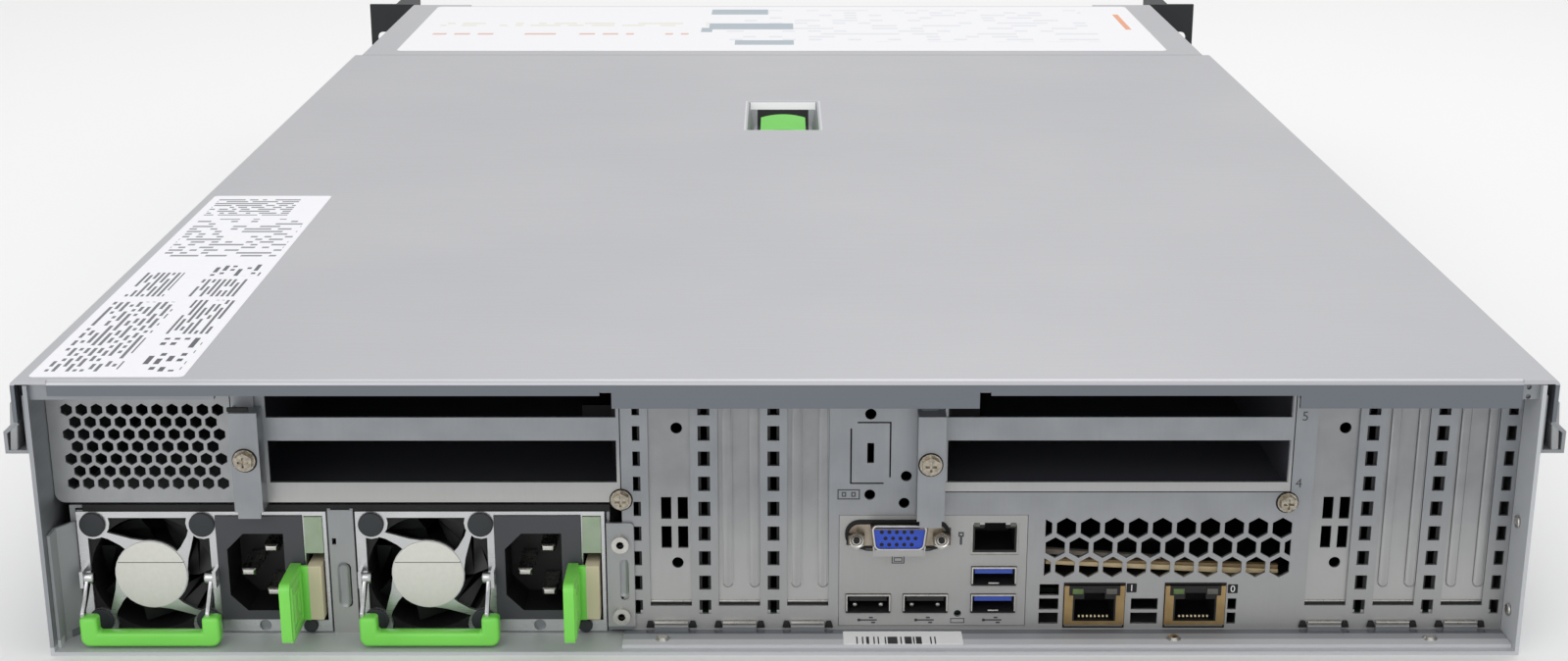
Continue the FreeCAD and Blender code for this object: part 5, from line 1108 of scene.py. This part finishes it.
# %% Card edge
CARD_EDGES = (          # name, ends in x, (bottom, top) at the left and right end, y, and its finish
    ("low", 77.5, 147.0, (21.7, 22.9), (17.9, 19.9), 17.0, "tan_laminate_edge", "#E6D3AC", "#C4AC80"),
    ("middle", 77.5, 147.0, (22.9, 23.4), (20.1, 21.2), 17.4, "brown_laminate_edge", "#9C8560", "#6E5C40"),
    ("high", 77.0, 112.0, (24.6, 26.3), (22.9, 23.7), 17.8, "grey_bracket_edge", "#8A8177", "#645C52"))


def edge_bar(name, x0, x1, left, right, y, material):
    bar = edit(block(x0, x1, y, y + 1.6, right[0], right[1]))
    pick(LEFT)
    stretch(1.0, 1.0, (left[1] - left[0]) / (right[1] - right[0]))
    shift(0, 0, (sum(left) - sum(right)) / 2)
    pick(REAR)
    inset(0.2)
    shift(0, -0.15, 0)
    finish_piece(bar, name, material)


def make_card_edges():
    for name, x0, x1, left, right, y, *finish in CARD_EDGES:
        edge_bar("card_edge_" + name, x0, x1, left, right, y, moulded(*finish, 0.5, 1.0, 0.03, 6.0))
    print("card edges:", len(CARD_EDGES))


make_card_edges()


# %% [markdown]
# ## The slot blanks' ribs and feet
# Four of the blanks carry two pressed ribs each. A rib is a long half-round ridge with a round
# lower end, so a narrow block gets its end and its front edges bevelled. Below every blank the
# folded foot leaves a gap whose shade is painted near-black, with a lip, a real fold whose highlight
# is painted in bright nickel, and its tongue goes through two slots whose shade is painted black.

# %% Ribs and feet
def make_rib(x, name):
    rib = edit(block(x - 1.5, x + 1.5, 13.75, 14.5, 15.4, 76.0))
    pick(lambda middle, way: ALONG_Y(middle, way) and middle.z < 0, "EDGE")
    round_off(1.45, 6)
    pick(REAR)
    round_off(0.6, 3)
    finish_piece(rib, name, blank_sheet, smooth=60.0)


def make_foot(x, name):
    """Under one blank: painted shade in the gap, a lip whose highlight is painted in bright nickel, the
    tongue, and painted shade in the two slots beside it.
    """
    finish_piece(slab(x, 10.3, 12.2, 0.9, 14.2, 14.45), name + "_gap", shadow_paint, edge=(0.1, 1, 40.0))
    finish_piece(slab(x, 11.025, 12.2, 0.45, 14.0, 14.45), name + "_lip", nickel, edge=(0.12, 2, 40.0))
    for i, side in enumerate((-1, 1)):
        slit_shade = edit(slab(x + side * 6.3, 3.95, 2.6, 2.1, 12.7, 13.46))
        pick(TOP)
        stretch(0.55, 1.0, 1.0)
        finish_piece(slit_shade, "%s_slit_%d" % (name, i + 1), shadow_paint, edge=(0.25, 2, 40.0))
    finish_piece(slab(x, 4.85, 10.0, 0.5, 11.9, 13.3), name + "_tongue", nickel, edge=(0.2, 2, 40.0))


def make_blanks():
    places = [(middle + (i - 1) * SLOT_PITCH, i > 0) for middle in BLANKS_X for i in range(3)]
    for i, (x, ribbed) in enumerate(places):
        name = "blank_%d" % (i + 1)
        make_foot(x, name)
        if ribbed:
            make_rib(x - 3.4, name + "_rib_1")
            make_rib(x + 4.5, name + "_rib_2")
    print("blanks dressed:", len(places))


make_blanks()


# %% [markdown]
# ## The display socket
# Its blue face has fifteen contact holes in three rows, inside a bright rolled lip on a nickel
# flange with two jack posts. Flat forms with round corners are one kind of plate; the lip is such
# a plate with its middle taken out, and an apron in the shield's colour hides the shell's foot.
# The painted shade in each hole is a small black disc, modelled once and copied.

# %% Display socket
HOLE_ROWS = ((1.97, -1.1), (0.0, 0.0), (-1.97, -1.1))       # each row's height and sideways step
HOLE_PITCH = 2.2


def rounded_plate(box_mm, corner, low_scale, name, material):
    """A flat upright plate with round corners; low_scale narrows its lower edge."""
    plate = edit(block(*box_mm))
    pick(UNDERSIDE)
    stretch(low_scale, 1.0, 1.0)
    pick(ALONG_Y, "EDGE")
    round_off(corner, 6)
    finish_piece(plate, name, material, smooth=60.0)


def make_display_holes():
    first = disc(33.8, 9.66, 32.95, 0.6, 0.16, 16)
    finish_piece(first, "eyelet_1_2", shadow_paint, edge=(0.05, 1, 50.0))
    for row, (dz, step) in enumerate(HOLE_ROWS):
        for column in range(5):
            if (row, column) != (1, 2):
                dx = (column - 2) * HOLE_PITCH + step
                copy_piece(first, "eyelet_%d_%d" % (row, column), (dx, 0, dz), "chassis")
    print("eyelets:", 5 * len(HOLE_ROWS))


def make_display_lip():
    lip = edit(block(25.2, 41.7, 9.0, 9.8, 29.3, 37.2))
    pick(UNDERSIDE)
    stretch(0.88, 1.0, 1.0)
    pick(ALONG_Y, "EDGE")
    round_off(1.7, 5)
    pick(lambda middle, normal: abs(normal.y) > 0.9)
    inset(0.55)
    bpy.ops.mesh.bridge_edge_loops()
    finish_piece(lip, "display_lip", nickel, smooth=60.0, edge=(0.15, 2, 50.0))


def make_post_tip(x, side):
    """The rolled mouth of a jack post, and painted shade in its bore."""
    ring = edit(disc(x, 9.95, 32.0, 2.1, 0.6, 32))
    pick(REAR)
    inset(0.55)
    shift(0, 0.5, 0)
    finish_piece(ring, "post_ring_" + side, nickel, edge=(0.12, 2, 40.0))
    bore_shade = disc(x, 9.9, 32.0, 0.95, 0.5, 20)
    finish_piece(bore_shade, "post_bore_" + side, shadow_paint, edge=(0.1, 1, 40.0))


def make_display_socket():
    rounded_plate((25.7, 41.2, 9.72, 9.86, 29.8, 36.9), 1.2, 0.89, "display_face", blue_face)
    rounded_plate((26.2, 40.7, 9.05, 9.2, 27.5, 29.6), 0.4, 1.0, "display_apron", shield_sheet)
    make_display_holes()
    make_display_lip()
    rounded_plate((17.6, 48.6, 13.3, 13.58, 28.2, 37.3), 4.3, 1.0, "display_shadow_gap", shadow_paint)
    rounded_plate((18.7, 47.5, 13.0, 13.3, 29.3, 36.0), 3.2, 1.0, "display_flange", aged_nickel)
    make_post_tip(20.95, "left")
    make_post_tip(45.95, "right")
    print("display socket dressed")


make_display_socket()


# %% [markdown]
# ## Springs and catches of the port shells
# The two lower black sockets show a pair of domed contact springs, and the two blue ones a pale
# catch at their floor. A spring is a short disc with its whole front edge rounded to a dome.

# %% Port details
def make_port_details():
    for i, (x, z) in enumerate(USB_PORTS[:2]):
        for side, dx in (("left", -3.9), ("right", 3.9)):
            spring = disc(x + dx, 15.0, z - 1.3, 0.75, 1.6, 20)
            finish_piece(spring, "port_%d_spring_%s" % (i, side), jack_steel, edge=(0.4, 3, 50.0))
    for i, (x, z) in enumerate(USB_PORTS[2:]):
        catch = slab(x, z - 2.15, 3.2, 0.5, 12.9, FACE_Y)
        finish_piece(catch, "port_%d_catch" % (i + 2), nickel, edge=(0.15, 2, 40.0))
    print("port details: 6")


make_port_details()


# %% [markdown]
# ## Pressed loops, rail webs and shadow gaps
# The divider and the side bracket carry a pressed oval with a raised rim and a dished middle. Each
# side rail shows an inner web at its end. A thin ring of painted shadow lies round every screw, and
# painted shadow marks the bracket's notch and the slot over the supplies.

# %% Sheet details
def pressed_loop(x0, x1, z0, z1, name):
    y = FACE_Y - 0.05
    loop = edit(block(x0, x1, y - 0.7, y, z0, z1))
    pick(ALONG_Y, "EDGE")
    round_off((x1 - x0) * 0.48, 6)
    pick(REAR)
    inset(0.7)
    shift(0, 0.6, 0)
    finish_piece(loop, name, vent_sheet, smooth=60.0, edge=(0.2, 2, 40.0))


def rail_web(x0, x1, lean, name):
    """Upright inner web seen in the end of a side rail; its foot leans sideways."""
    web = edit(block(x0, x1, 1.6, 8.0, 62.4, 78.0))
    pick(UNDERSIDE)
    shift(lean, 0, 0)
    finish_piece(web, name, vent_sheet, smooth=60.0, edge=(0.5, 3, 40.0))


def make_sheet_details():
    for i, z in enumerate((38.9, 11.0)):
        rivet = cross_rivet(213.6, 8.0, z, 0.8, 24)
        finish_piece(rivet, "wall_rivet_%d" % (i + 1), nickel, edge=(0.35, 3, 50.0))
    # painted shadow: a dark ring round each screw head
    for i, (x, y, z, radius) in enumerate(SCREWS):
        rim = disc(x, y - 0.12, z - 0.15, radius + 0.35, 0.2, 36)
        finish_piece(rim, "screw_shadow_ring_%d" % (i + 1), shadow_paint, edge=(0.05, 1, 40.0))
    # painted shadow in the bracket's notch
    notch = block(-159.8, -153.6, 5.9, 6.7, 73.4, 74.9)
    finish_piece(notch, "bracket_notch_shadow", shadow_paint, edge=(0.3, 2, 40.0))
    pressed_loop(-132.6, -128.9, 9.7, 23.7, "divider_loop")
    pressed_loop(-49.9, -46.5, 13.0, 26.0, "bracket_loop")
    rail_web(-219.9, -217.6, -1.4, "rail_web_left")
    rail_web(217.6, 219.9, 1.2, "rail_web_right")
    gap = block(-206.5, -51.5, 13.9, 14.4, 39.7, 42.0)
    finish_piece(gap, "supply_shadow_gap", shadow_paint, edge=(0.1, 1, 40.0))
    print("sheet details:", len(SCREWS) + 8)


make_sheet_details()


# %% [markdown]
# ## Floor
# The floor is one large pale sheet under the server. It is stage, not part of the object.

# %% Floor
def make_floor():
    fresh()
    bpy.ops.mesh.primitive_plane_add(size=12.0, location=(0.0, 0.0, cad_box[0][2]))
    floor = bpy.context.object
    floor.name = "floor"
    floor.data.materials.append(start("pale_floor", "#F4F4F4", Roughness=0.8)[0])
    print("floor at", cad_box[0][2])


make_floor()
